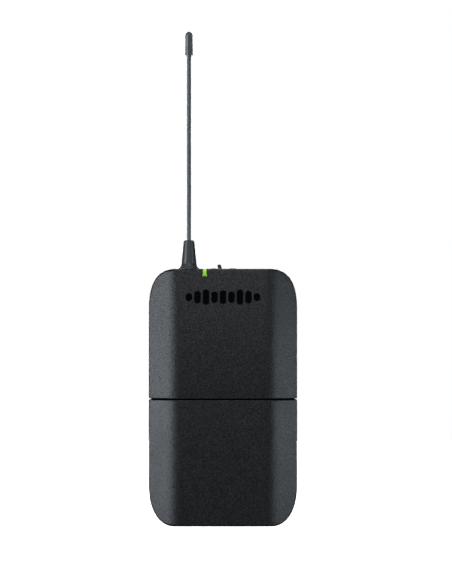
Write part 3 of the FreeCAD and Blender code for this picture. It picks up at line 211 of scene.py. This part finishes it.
# ---------------------------------------------------------------------------
# Case: front shell, rear shell and battery door, moulded in charcoal ABS with
# a fine spark-eroded texture. Each half of the front leans back very slightly
# towards its top. The groove between the two halves is made matte, and its
# shade is painted in as a near-black colour.
# ---------------------------------------------------------------------------
shell_finish = {"color": (0.0082, 0.0092, 0.0101), "roughness": 0.36, "grain": 0.52, "depth": 0.060,
                "contrast": 0.50}
seam_z = 54.65
groove_top = 54.93
lean = 0.0113
lean_power = 1.5
door_lean_share = 0.6
bend_start, bend_end = 18.2, 25.6
bend_drop = 0.42
groove_painted_shade = (0.0015, 0.0015, 0.0018)
groove_roughening = 0.5
groove_sheen_loss = 0.9


def moulded_plastic(name, color, roughness, grain, depth, contrast, form=None):
    """Textured moulding: coarse and finer grain, with slow changes in gloss, over a broad form if given."""
    material, tree, shader, place = start_finish(name, color, roughness)
    coarse = noise(tree, place, grain, 3.0, 0.6)
    fine = noise(tree, place, grain * 0.35, 2.0, 0.5)
    pits = add_node(tree, "ShaderNodeTexVoronoi", Vector=place, Scale=1 / (grain * 0.8), Randomness=1.0)
    pitted = spread(tree, pits.outputs["Distance"], 0.0, 0.5, 0.0, 0.8)
    height = calculate(tree, "MULTIPLY_ADD", coarse, 0.8, pitted)
    speckled = ramp(tree, coarse, [(0.30, shade(color, 1 - contrast)), (0.52, color),
                                   (0.72, shade(color, 1 + 1.6 * contrast))])
    tree.links.new(speckled, shader.inputs["Base Color"])
    gloss = calculate(tree, "ADD", spread(tree, coarse, roughness - 0.07, roughness + 0.07),
                      spread(tree, noise(tree, place, 26.0), -0.02, 0.02))
    tree.links.new(gloss, shader.inputs["Roughness"])
    sheen = spread(tree, coarse, 0.3 * (1 - contrast), 0.3 * (1 + contrast))
    tree.links.new(sheen, shader.inputs["Specular IOR Level"])
    under = relief(tree, shader, form(tree, place), 1.0) if form else None
    under = relief(tree, shader, height, depth, under)
    relief(tree, shader, fine, depth * 0.4, under)
    return material


def front_form(tree, place):
    """Broad form of the front, in millimetres: each half leans back upwards, and the bends start early."""
    axes = add_node(tree, "ShaderNodeSeparateXYZ", Vector=place)
    upper = calculate(tree, "GREATER_THAN", axes.outputs["Z"], seam_z)
    rise = calculate(tree, "MULTIPLY_ADD", upper, -seam_z, axes.outputs["Z"])
    rate = calculate(tree, "MULTIPLY_ADD", upper, (door_lean_share - 1) * lean, -door_lean_share * lean)
    leaning = calculate(tree, "MULTIPLY", calculate(tree, "POWER", rise, lean_power), rate)
    bend = {"From_Min": bend_start, "From_Max": bend_end, "To_Min": 0.0, "To_Max": -bend_drop}
    eased = add_node(tree, "ShaderNodeMapRange", {"interpolation_type": "SMOOTHSTEP"},
                     Value=calculate(tree, "ABSOLUTE", axes.outputs["X"]), **bend).outputs["Result"]
    return calculate(tree, "ADD", leaning, eased)


def paint_shade_and_matte_below(material, height):
    """Paints shade into a moulding below a height: a near-black colour where the groove lies in shadow, also
    rougher and with less sheen.
    """
    tree = material.node_tree
    shader = tree.nodes["Principled BSDF"]
    coordinates = add_node(tree, "ShaderNodeTexCoord")
    axes = add_node(tree, "ShaderNodeSeparateXYZ", Vector=coordinates.outputs["Object"])
    # Painted shade: below this height the colour turns near-black, standing for the groove's shadow.
    low = calculate(tree, "LESS_THAN", axes.outputs["Z"], height * MM)
    color = shader.inputs["Base Color"].links[0].from_socket
    gloss = shader.inputs["Roughness"].links[0].from_socket
    sheen = shader.inputs["Specular IOR Level"].links[0].from_socket
    tree.links.new(blend_colors(tree, low, color, groove_painted_shade), shader.inputs["Base Color"])
    tree.links.new(calculate(tree, "MULTIPLY_ADD", low, groove_roughening, gloss), shader.inputs["Roughness"])
    tree.links.new(calculate(tree, "MULTIPLY_ADD", low, -groove_sheen_loss, sheen),
                   shader.inputs["Specular IOR Level"])


front_plastic = moulded_plastic("front_abs", form=front_form, **shell_finish)
paint_shade_and_matte_below(front_plastic, groove_top)
wear(nodes["front_case"], front_plastic)
wear(nodes["battery_door"], moulded_plastic("door_abs", form=front_form, **shell_finish))
wear(nodes["rear_case"], moulded_plastic("rear_abs", **shell_finish))


# ---------------------------------------------------------------------------
# Latch tabs: smooth satin acetal, pressed through windows in the door's
# sides, with grip grooves moulded across them.
# ---------------------------------------------------------------------------
latch_plastic = moulded_plastic("latch_acetal", (0.024, 0.025, 0.028), 0.38, 0.9, 0.006, 0.12)
for name in ("latch_left", "latch_right"):
    wear(nodes[name], latch_plastic)


# ---------------------------------------------------------------------------
# Mark on the front: a row of round-ended bars like a sound wave, printed in
# dense matte black ink on the textured shell.
# ---------------------------------------------------------------------------
mark_width = 32.0 * MM
mark_height = 6.6 * MM
mark_z = 98.6 * MM
mark_heights = (0.52, 0.82, 1.0, 0.74, 0.90, 0.74, 1.0, 0.82, 0.52)
bar_share = 0.76
bar_rounding = 0.45
ink_thickness = 0.03 * MM


def printed_ink(name, color, roughness, sheen=0.15):
    """Screen-printed ink: even colour broken by the texture under it."""
    material, tree, shader, place = start_finish(name, color, roughness, Specular_IOR_Level=sheen)
    patchy = noise(tree, place, 0.5, 3.0)
    tree.links.new(ramp(tree, patchy, [(0.3, shade(color, 0.8)), (0.7, shade(color, 1.15))]),
                   shader.inputs["Base Color"])
    tree.links.new(spread(tree, patchy, roughness - 0.05, roughness + 0.08), shader.inputs["Roughness"])
    relief(tree, shader, patchy, 0.006)
    return material


def printed_bar(centre, size, round_by, facing="Y", turn=0.0):
    """Flat round-cornered bar of ink. Size is width and height; facing is the axis it looks along."""
    bpy.ops.mesh.primitive_cube_add(size=1)
    bar = bpy.context.object
    bar.scale = (size[0], ink_thickness, size[1])
    bpy.ops.object.transform_apply(location=False, rotation=False, scale=True)
    bpy.ops.object.mode_set(mode="EDIT")
    bpy.ops.mesh.select_mode(type="EDGE")
    bpy.ops.mesh.select_all(action="DESELECT")
    bpy.ops.object.mode_set(mode="OBJECT")
    for edge in bar.data.edges:
        a, b = (bar.data.vertices[i].co for i in edge.vertices)
        edge.select = abs(a.y - b.y) > ink_thickness / 2
    bpy.ops.object.mode_set(mode="EDIT")
    bpy.ops.mesh.bevel(offset=round_by, segments=5)
    bpy.ops.object.mode_set(mode="OBJECT")
    bar.rotation_euler = (math.pi / 2, 0, turn) if facing == "Z" else (0, turn, 0)
    bar.location = centre
    bpy.ops.object.transform_apply(location=True, rotation=True, scale=True)
    return bar


def join_pieces(pieces, name):
    """Joins like pieces into one, named as the whole."""
    bpy.ops.object.select_all(action="DESELECT")
    for piece in pieces:
        piece.select_set(True)
    bpy.context.view_layer.objects.active = pieces[0]
    if len(pieces) > 1:
        bpy.ops.object.join()
    joined = bpy.context.object
    joined.name = name
    joined.data.name = name
    return joined


ink_y = front_low.y - ink_thickness / 2
bar_gaps = len(mark_heights) - 1
bar_pitch = mark_width / (bar_gaps + bar_share)
bar_width = bar_pitch * bar_share
bars = []
for k, share in enumerate(mark_heights):
    bar_x = (k - bar_gaps / 2) * bar_pitch
    bars.append(printed_bar((bar_x, ink_y, mark_z), (bar_width, mark_height * share),
                            bar_width * bar_rounding))
front_mark = join_pieces(bars, "front_mark")
wear(front_mark, printed_ink("black_ink", (0.0008, 0.0008, 0.0010), 0.50, 0.03))
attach(front_mark, "case")


# ---------------------------------------------------------------------------
# Status light: a clear guide pressed into a notch in the top front edge, lit
# yellow-green from inside by a small lamp on the board.
# ---------------------------------------------------------------------------
light_low, light_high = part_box("light_pipe")
lit_guide, tree, shader, place = start_finish(
    "lit_guide", (0.03, 0.07, 0.01), 0.22, IOR=1.49, Coat_Weight=0.3, Coat_Roughness=0.10)
axes = add_node(tree, "ShaderNodeSeparateXYZ", Vector=place)
from_below = spread(tree, axes.outputs["Z"], 0.0, 1.0, light_low.z / MM, light_high.z / MM)
glowing = ramp(tree, from_below, [(0.10, (0.12, 0.36, 0.030)), (0.45, (0.24, 0.52, 0.035)),
                                  (0.80, (0.36, 0.60, 0.035)), (1.0, (0.40, 0.60, 0.06))])
tree.links.new(glowing, shader.inputs["Emission Color"])
light_middle = (light_low.x + light_high.x) / 2 / MM
from_middle = calculate(tree, "ABSOLUTE", calculate(tree, "SUBTRACT", axes.outputs["X"], light_middle))
half_width = (light_high.x - light_low.x) / 2 / MM
side_fade, side_glow = (0.22, 0.05), 0.15
# The glow itself comes from the lamp. Its fall to almost nothing at the guide's foot is painted shade,
# standing for the shadowed notch below the lit window.
notch_shade_fade, notch_shade_glow = (0.40, 0.75), 0.03
inside = spread(tree, from_middle, 1.0, side_glow, half_width - side_fade[0], half_width - side_fade[1])
above = spread(tree, axes.outputs["Z"], notch_shade_glow, 1.0, light_low.z / MM + notch_shade_fade[0],
               light_low.z / MM + notch_shade_fade[1])
tree.links.new(calculate(tree, "MULTIPLY", inside, above), shader.inputs["Emission Strength"])
tree.links.new(spread(tree, noise(tree, place, 0.6), 0.16, 0.30), shader.inputs["Roughness"])
wear(nodes["light_pipe"], lit_guide)

lamp, tree, shader, place = start_finish("lamp_resin", (0.50, 0.80, 0.20), 0.25, Emission_Strength=0.6,
                                         Emission_Color=(0.5, 0.9, 0.1, 1))
cloudy = noise(tree, place, 0.4)
tree.links.new(ramp(tree, cloudy, [(0.3, (0.45, 0.75, 0.16)), (0.7, (0.58, 0.88, 0.26))]),
               shader.inputs["Base Color"])
wear(nodes["status_lamp"], lamp)


# ---------------------------------------------------------------------------
# Antenna: a moulded rubber boot, a spring wire in a semi-gloss jacket, and a
# rounded cap over its end. The wire's foot sits in a turned brass ferrule.
# ---------------------------------------------------------------------------
wear(nodes["antenna_boot"], moulded_plastic("boot_rubber", (0.036, 0.040, 0.043), 0.35, 0.35, 0.010, 0.15))


def drawn_jacket(name, color, roughness):
    """Extruded jacket: faint lines along its length and a slow ripple, as it left the die."""
    material, tree, shader, place = start_finish(name, color, roughness, Specular_IOR_Level=0.4)
    stretched = add_node(tree, "ShaderNodeMapping", Vector=place, Scale=(1.0, 1.0, 0.04))
    lines = noise(tree, stretched.outputs["Vector"], 0.22, 2.0)
    tree.links.new(ramp(tree, lines, [(0.3, shade(color, 0.85)), (0.7, shade(color, 1.2))]),
                   shader.inputs["Base Color"])
    tree.links.new(spread(tree, noise(tree, place, 2.5), roughness - 0.05, roughness + 0.06),
                   shader.inputs["Roughness"])
    rippled = relief(tree, shader, lines, 0.010)
    relief(tree, shader, noise(tree, place, 6.0, 1.0), 0.05, rippled)
    return material


wear(nodes["antenna_whip"], drawn_jacket("whip_jacket", (0.050, 0.054, 0.058), 0.28))
wear(nodes["antenna_tip"], drawn_jacket("tip_cap", (0.060, 0.064, 0.068), 0.22))


def worked_metal(name, color, roughness, lines=(1.0, 1.0, 1.0), depth=0.004, size=0.25):
    """Metal with fine working marks. Lines under 1 stretch the marks along that axis."""
    material, tree, shader, place = start_finish(name, color, roughness, Metallic=1.0)
    drawn = add_node(tree, "ShaderNodeMapping", Vector=place, Scale=lines).outputs["Vector"]
    marks = noise(tree, drawn, size, 4.0, 0.6)
    tarnish = noise(tree, place, 5.0, 3.0)
    tree.links.new(ramp(tree, tarnish, [(0.25, shade(color, 0.82)), (0.6, color), (0.8, shade(color, 1.08))]),
                   shader.inputs["Base Color"])
    tree.links.new(spread(tree, marks, roughness - 0.08, roughness + 0.10), shader.inputs["Roughness"])
    relief(tree, shader, marks, depth)
    return material


wear(nodes["antenna_core"], worked_metal("spring_wire", (0.50, 0.50, 0.51), 0.34, (1.0, 1.0, 0.05)))
wear(nodes["antenna_ferrule"], worked_metal("turned_brass", (0.62, 0.48, 0.24), 0.30, (1.0, 1.0, 4.0)))


# ---------------------------------------------------------------------------
# Power switch: a black bezel pressed into the top with a guard at each end, a
# leaning thumb slider between them, its stem, and the stamped slide switch.
# White marks beside it: a bar for on and a ring for off.
# ---------------------------------------------------------------------------
bezel_plastic = moulded_plastic("bezel_abs", (0.005, 0.005, 0.006), 0.50, 0.5, 0.008, 0.15)
wear(nodes["switch_bezel"], bezel_plastic)
wear(nodes["power_slider"], moulded_plastic("slider_nylon", (0.036, 0.038, 0.041), 0.36, 0.5, 0.008, 0.15))
wear(nodes["switch_stem"], bezel_plastic)
wear(nodes["switch_body"], worked_metal("stamped_tin", (0.58, 0.58, 0.57), 0.32, (1.0, 1.0, 0.2)))

bezel_low, bezel_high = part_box("switch_bezel")
top_ink_z = front_high.z + ink_thickness / 2
white_ink = printed_ink("white_ink", (0.62, 0.63, 0.63), 0.5)
on_x, off_x = bezel_low.x - 2.0 * MM, bezel_high.x + 2.2 * MM
on_bar = printed_bar((on_x, 0, top_ink_z), (0.42 * MM, 2.0 * MM), 0.12 * MM, "Z")
bpy.ops.mesh.primitive_torus_add(location=(off_x, 0, top_ink_z), major_radius=0.85 * MM,
                                 minor_radius=0.2 * MM, major_segments=32, minor_segments=8)
off_ring = bpy.context.object
flattened = 0.1
off_ring.scale = (1, 1, flattened)
bpy.ops.object.transform_apply(location=True, rotation=True, scale=True)
switch_marks = join_pieces([on_bar, off_ring], "switch_marks")
wear(switch_marks, white_ink)
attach(switch_marks, "case")


# ---------------------------------------------------------------------------
# Microphone jack: a turned shell in dark nickel, a moulded insulator, four
# gilt contacts and their tinned leads.
# ---------------------------------------------------------------------------
wear(nodes["jack_shell"], worked_metal("dark_nickel", (0.24, 0.24, 0.25), 0.30, (1.0, 1.0, 5.0)))
wear(nodes["jack_insulator"], moulded_plastic("insulator_pbt", (0.030, 0.030, 0.033), 0.5, 0.4, 0.008, 0.15))
wear(nodes["jack_pins"], worked_metal("gilt", (0.80, 0.60, 0.24), 0.20))
wear(nodes["jack_leads"], worked_metal("tinned_copper", (0.70, 0.66, 0.60), 0.36))


# ---------------------------------------------------------------------------
# Belt clip: bent sheet spring steel with a baked black coating that has
# flowed into a slight orange peel. Its pins sit in the saddle on the back.
# ---------------------------------------------------------------------------
clip_coat, tree, shader, place = start_finish("baked_coat", (0.022, 0.022, 0.024), 0.34, Coat_Weight=0.35,
                                              Coat_Roughness=0.25)
uneven = noise(tree, place, 8.0, 3.0)
tree.links.new(ramp(tree, uneven, [(0.3, (0.019, 0.019, 0.021)), (0.7, (0.027, 0.027, 0.030))]),
               shader.inputs["Base Color"])
tree.links.new(spread(tree, noise(tree, place, 12.0, 3.0), 0.28, 0.42), shader.inputs["Roughness"])
relief(tree, shader, noise(tree, place, 0.7), 0.012)
wear(nodes["belt_clip"], clip_coat)


# ---------------------------------------------------------------------------
# Screws and hinge pins: blackened cross-head screws from the back, and plain
# drawn pins pressed into the rear shell's ears.
# ---------------------------------------------------------------------------
screw_black = worked_metal("black_screw", (0.09, 0.09, 0.10), 0.38, (1.0, 3.0, 1.0))
wear(nodes["case_screws"], screw_black)
wear(nodes["board_screws"], screw_black)
wear(nodes["hinge_pins"], worked_metal("drawn_pin", (0.55, 0.55, 0.56), 0.28, (0.1, 1.0, 1.0)))


# ---------------------------------------------------------------------------
# Rating label: a silver-grey polyester film in a shallow recess, printed with
# blank rules, one empty box and a row of stripes in place of words.
# ---------------------------------------------------------------------------
label_film, tree, shader, place = start_finish("label_film", (0.23, 0.235, 0.24), 0.42, Metallic=0.35)
clouded = noise(tree, place, 3.0, 3.0)
tree.links.new(ramp(tree, clouded, [(0.3, (0.21, 0.215, 0.22)), (0.7, (0.25, 0.255, 0.26))]),
               shader.inputs["Base Color"])
tree.links.new(spread(tree, noise(tree, place, 6.0), 0.36, 0.50), shader.inputs["Roughness"])
relief(tree, shader, noise(tree, place, 0.8), 0.010)
wear(nodes["rating_label"], label_film)

label_low, label_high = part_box("rating_label")
label_y = label_high.y + ink_thickness / 2
label_margin = 3.0 * MM
rule_start = 0.08
rule_ends = (0.62, 0.54, 0.58, 0.44, 0.50)
rule_height, rule_pitch = 0.9 * MM, 2.5 * MM
stripe_count, stripe_pitch = 14, 0.8 * MM
stripe_wide, stripe_narrow, stripe_height = 0.5 * MM, 0.25 * MM, 4.6 * MM
stripe_z = label_low.z + 4.2 * MM
box_x, box_z = label_low.x + 8.4 * MM, label_high.z - 5.4 * MM
box_width, box_height, box_line = 9.6 * MM, 5.4 * MM, 0.3 * MM
box_reach = 2.6 * MM
rules = []
for row, rule_end in enumerate(rule_ends):
    rule_z = label_high.z - label_margin - rule_pitch * row
    left = label_high.x + (label_low.x - label_high.x) * rule_start
    right = label_high.x + (label_low.x - label_high.x) * rule_end
    rules.append(printed_bar(((left + right) / 2, label_y, rule_z), (left - right, rule_height), 0.2 * MM))
for column in range(stripe_count):
    stripe_x = label_low.x + label_margin + stripe_pitch * column
    stripe_width = stripe_wide if column % 3 == 0 else stripe_narrow
    rules.append(printed_bar((stripe_x, label_y, stripe_z), (stripe_width, stripe_height), 0.05 * MM))
for side in (-1, 1):
    edge_z = box_z + side * box_reach
    edge_x = box_x + side * (box_width - box_line) / 2
    rules.append(printed_bar((box_x, label_y, edge_z), (box_width, box_line), 0.1 * MM))
    rules.append(printed_bar((edge_x, label_y, box_z), (box_line, box_height), 0.1 * MM))
label_print = join_pieces(rules, "label_print")
wear(label_print, printed_ink("grey_ink", (0.035, 0.036, 0.038), 0.5))
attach(label_print, "case")


# ---------------------------------------------------------------------------
# Cells: steel cans shrunk into printed film, deep blue with a pale band at
# the positive end. Nickel-plated strip contacts and springs meet them.
# ---------------------------------------------------------------------------
wrap_low, wrap_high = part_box("battery_wraps")
between_cells = (wrap_low.x + wrap_high.x) / 2 / MM
wear(nodes["battery_cans"], worked_metal("can_steel", (0.66, 0.66, 0.67), 0.30, (1.0, 1.0, 3.0)))
cell_film, tree, shader, place = start_finish("cell_film", (0.02, 0.05, 0.13), 0.26, Coat_Weight=0.5,
                                              Coat_Roughness=0.1)
axes = add_node(tree, "ShaderNodeSeparateXYZ", Vector=place)
up_share = spread(tree, axes.outputs["Z"], 0.0, 1.0, wrap_low.z / MM, wrap_high.z / MM)
turned_down = calculate(tree, "GREATER_THAN", axes.outputs["X"], between_cells)
flipped = calculate(tree, "SUBTRACT", 1.0, up_share)
share = calculate(tree, "ADD", calculate(tree, "MULTIPLY", flipped, turned_down),
                  calculate(tree, "MULTIPLY", up_share, calculate(tree, "SUBTRACT", 1.0, turned_down)))
deep_blue = (0.014, 0.035, 0.10)
bands = ramp(tree, share, [(0.0, (0.30, 0.31, 0.32)), (0.045, deep_blue), (0.70, (0.45, 0.46, 0.47)),
                           (0.725, deep_blue), (0.78, (0.38, 0.39, 0.40))], True)
worn = blend_colors(tree, spread(tree, noise(tree, place, 3.0, 3.0), 0.0, 0.25), bands, (0.06, 0.07, 0.09))
tree.links.new(worn, shader.inputs["Base Color"])
tree.links.new(spread(tree, noise(tree, place, 1.5), 0.20, 0.34), shader.inputs["Roughness"])
relief(tree, shader, noise(tree, place, 2.2, 2.0), 0.03)
wear(nodes["battery_wraps"], cell_film)

plated = worked_metal("nickel_strip", (0.66, 0.65, 0.62), 0.28, (0.2, 1.0, 1.0))
for name in ("contact_bridge", "contact_positive", "contact_negative", "lower_spring", "upper_spring",
             "antenna_contact"):
    wear(nodes[name], plated)

cell_front_y = wrap_low.y - ink_thickness / 2
cell_marks = []
sign_long, sign_short, sign_round = 2.4 * MM, 0.6 * MM, 0.1 * MM
for side, plus_share in ((-1, 0.88), (1, 0.12)):
    cell_x = between_cells * MM + side * (wrap_high.x - wrap_low.x) / 4
    plus_z = wrap_low.z + (wrap_high.z - wrap_low.z) * plus_share
    minus_z = wrap_low.z + (wrap_high.z - wrap_low.z) * (1 - plus_share)
    for sign_z, sign_size in ((plus_z, (sign_long, sign_short)), (plus_z, (sign_short, sign_long)),
                              (minus_z, (sign_long, sign_short))):
        cell_marks.append(printed_bar((cell_x, cell_front_y, sign_z), sign_size, sign_round))
cell_print = join_pieces(cell_marks, "cell_print")
wear(cell_print, white_ink)
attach(cell_print, "case")


# ---------------------------------------------------------------------------
# Control panel behind the door: a smooth dark cover with a clear window over
# the display, two soft grey buttons and the slotted gain control. The names
# and the gain scale are printed in white.
# ---------------------------------------------------------------------------
wear(nodes["control_panel"], moulded_plastic("panel_abs", (0.045, 0.048, 0.052), 0.42, 0.7, 0.015, 0.2))
button_rubber = moulded_plastic("button_rubber", (0.16, 0.165, 0.17), 0.55, 0.4, 0.010, 0.1)
wear(nodes["group_button"], button_rubber)
wear(nodes["channel_button"], button_rubber)
wear(nodes["gain_knob"], moulded_plastic("knob_pom", (0.20, 0.205, 0.21), 0.40, 0.5, 0.008, 0.1))
wear(nodes["gain_pot"], worked_metal("pot_case", (0.45, 0.46, 0.48), 0.34))
wear(nodes["tact_switches"], worked_metal("switch_cover", (0.60, 0.60, 0.59), 0.30, (1.0, 0.2, 1.0)))

window_clear, tree, shader, place = start_finish("window_pc", (0.80, 0.82, 0.82), 0.06, IOR=1.58,
                                                 Transmission_Weight=0.96)
tree.links.new(spread(tree, noise(tree, place, 2.0), 0.04, 0.12), shader.inputs["Roughness"])
relief(tree, shader, noise(tree, place, 1.2), 0.004)
wear(nodes["display_window"], window_clear)

display_glass, tree, shader, place = start_finish("display_glass", (0.20, 0.23, 0.20), 0.18, Coat_Weight=0.5)
speckled = noise(tree, place, 0.25, 1.0)
tree.links.new(ramp(tree, speckled, [(0.3, (0.19, 0.22, 0.185)), (0.7, (0.225, 0.255, 0.22))]),
               shader.inputs["Base Color"])
tree.links.new(spread(tree, noise(tree, place, 3.0), 0.14, 0.24), shader.inputs["Roughness"])
wear(nodes["display_module"], display_glass)

display_low, display_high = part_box("display_module")
digit_y = display_low.y - ink_thickness / 2
digit_z = (display_low.z + display_high.z) / 2
two_x, seven_x = display_low.x + 3.4 * MM, display_high.x - 3.2 * MM
digit_across, digit_above = 1.05 * MM, 1.1 * MM
segment_width, level_length, upright_length = 0.42 * MM, 1.6 * MM, 1.7 * MM
levels = {"top": 2, "middle": 0, "bottom": -2}
uprights = {"upper right": (1, 1), "lower left": (-1, -1), "lower right": (1, -1)}
two = ("top", "upper right", "middle", "lower left", "bottom")
seven = ("top", "upper right", "lower right")
segments = []
for digit_x, lit in ((two_x, two), (seven_x, seven)):
    for segment in lit:
        if segment in levels:
            spot = (digit_x, digit_y, digit_z + levels[segment] * digit_above)
            size = (level_length, segment_width)
        else:
            across, above = uprights[segment]
            spot = (digit_x + across * digit_across, digit_y, digit_z + above * digit_above)
            size = (segment_width, upright_length)
        segments.append(printed_bar(spot, size, 0.1 * MM))
display_digits = join_pieces(segments, "display_digits")
wear(display_digits, printed_ink("lcd_black", (0.010, 0.012, 0.011), 0.25))
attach(display_digits, "case")

panel_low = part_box("control_panel")[0]
knob_low, knob_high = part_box("gain_knob")
group_low, group_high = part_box("group_button")
channel_low, channel_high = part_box("channel_button")
panel_ink_y = panel_low.y - ink_thickness / 2


def printed_word(text, centre, height):
    """A word in plain capitals that faces the front."""
    bpy.ops.object.text_add(location=centre, rotation=(math.pi / 2, 0, 0))
    word = bpy.context.object
    word.data.body = text
    word.data.size = height
    word.data.align_x = "CENTER"
    word.data.align_y = "CENTER"
    word.data.extrude = ink_thickness / 2
    word.data.resolution_u = 3
    bpy.ops.object.convert(target="MESH")
    bpy.ops.object.transform_apply(location=True, rotation=True, scale=True)
    return bpy.context.object


knob_x = (knob_low.x + knob_high.x) / 2
knob_z = (knob_low.z + knob_high.z) / 2
group_x = (group_low.x + group_high.x) / 2
channel_x = (channel_low.x + channel_high.x) / 2
letter_height = 2.0 * MM
above_button, below_knob = 1.3 * MM, 2.2 * MM
panel_print = [
    printed_word("GROUP", (group_x, panel_ink_y, group_high.z + above_button), letter_height),
    printed_word("CHAN", (channel_x, panel_ink_y, channel_high.z + above_button), letter_height),
    printed_word("GAIN", (knob_x, panel_ink_y, knob_low.z - below_knob), letter_height)]
tick_count = 11
first_tick, tick_step = 225, -27
tick_radius, tick_width = 6.0 * MM, 0.28 * MM
long_tick, short_tick = 1.4 * MM, 0.9 * MM
for k in range(tick_count):
    angle = math.radians(first_tick + tick_step * k)
    tick_x = knob_x + tick_radius * math.cos(angle)
    tick_z = knob_z + tick_radius * math.sin(angle)
    tick_length = long_tick if k % 5 == 0 else short_tick
    panel_print.append(printed_bar((tick_x, panel_ink_y, tick_z), (tick_width, tick_length), 0.08 * MM, "Y",
                                   math.pi / 2 - angle))
panel_marks = join_pieces(panel_print, "panel_marks")
wear(panel_marks, white_ink)
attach(panel_marks, "case")


# ---------------------------------------------------------------------------
# Circuit board: fibreglass under dark green solder mask, with copper tracks
# and tinned vias under it, black moulded chips, a tin shield and small parts.
# ---------------------------------------------------------------------------
board_mask, tree, shader, place = start_finish("solder_mask", (0.010, 0.075, 0.035), 0.28, Coat_Weight=0.4)
track_bend, tracks_to_bend, track_share = 2.2, 3.0, 0.32
via_pitch, via_share = 3.1, 0.11
tracks = add_node(tree, "ShaderNodeTexVoronoi", {"distance": "MANHATTAN"}, Vector=place,
                  Scale=1 / track_bend, Randomness=0.8)
across_tracks = calculate(tree, "MULTIPLY", tracks.outputs["Distance"], tracks_to_bend)
on_track = calculate(tree, "LESS_THAN", calculate(tree, "FRACT", across_tracks), track_share)
vias = add_node(tree, "ShaderNodeTexVoronoi", Vector=place, Scale=1 / via_pitch, Randomness=0.9)
on_via = calculate(tree, "LESS_THAN", vias.outputs["Distance"], via_share)
green = blend_colors(tree, on_track, (0.008, 0.060, 0.028), (0.016, 0.110, 0.048))
tree.links.new(blend_colors(tree, on_via, green, (0.42, 0.42, 0.38)), shader.inputs["Base Color"])
tree.links.new(spread(tree, noise(tree, place, 1.4), 0.22, 0.36), shader.inputs["Roughness"])
relief(tree, shader, on_track, 0.02)
wear(nodes["main_board"], board_mask)

chip_epoxy = moulded_plastic("chip_epoxy", (0.018, 0.018, 0.019), 0.55, 0.25, 0.010, 0.2)
for name in ("radio_chip", "control_chip", "audio_chip"):
    wear(nodes[name], chip_epoxy)
tin_plate = worked_metal("tin_plate", (0.66, 0.66, 0.64), 0.30, (0.15, 1.0, 1.0))
wear(nodes["rf_shield"], tin_plate)
wear(nodes["crystal"], tin_plate)
wear(nodes["power_inductor"], moulded_plastic("ferrite", (0.050, 0.048, 0.047), 0.6, 0.3, 0.02, 0.3))
wear(nodes["storage_capacitors"], worked_metal("can_aluminium", (0.70, 0.70, 0.71), 0.32))
wear(nodes["small_chips"], moulded_plastic("chip_ceramic", (0.30, 0.22, 0.14), 0.5, 0.2, 0.006, 0.3))
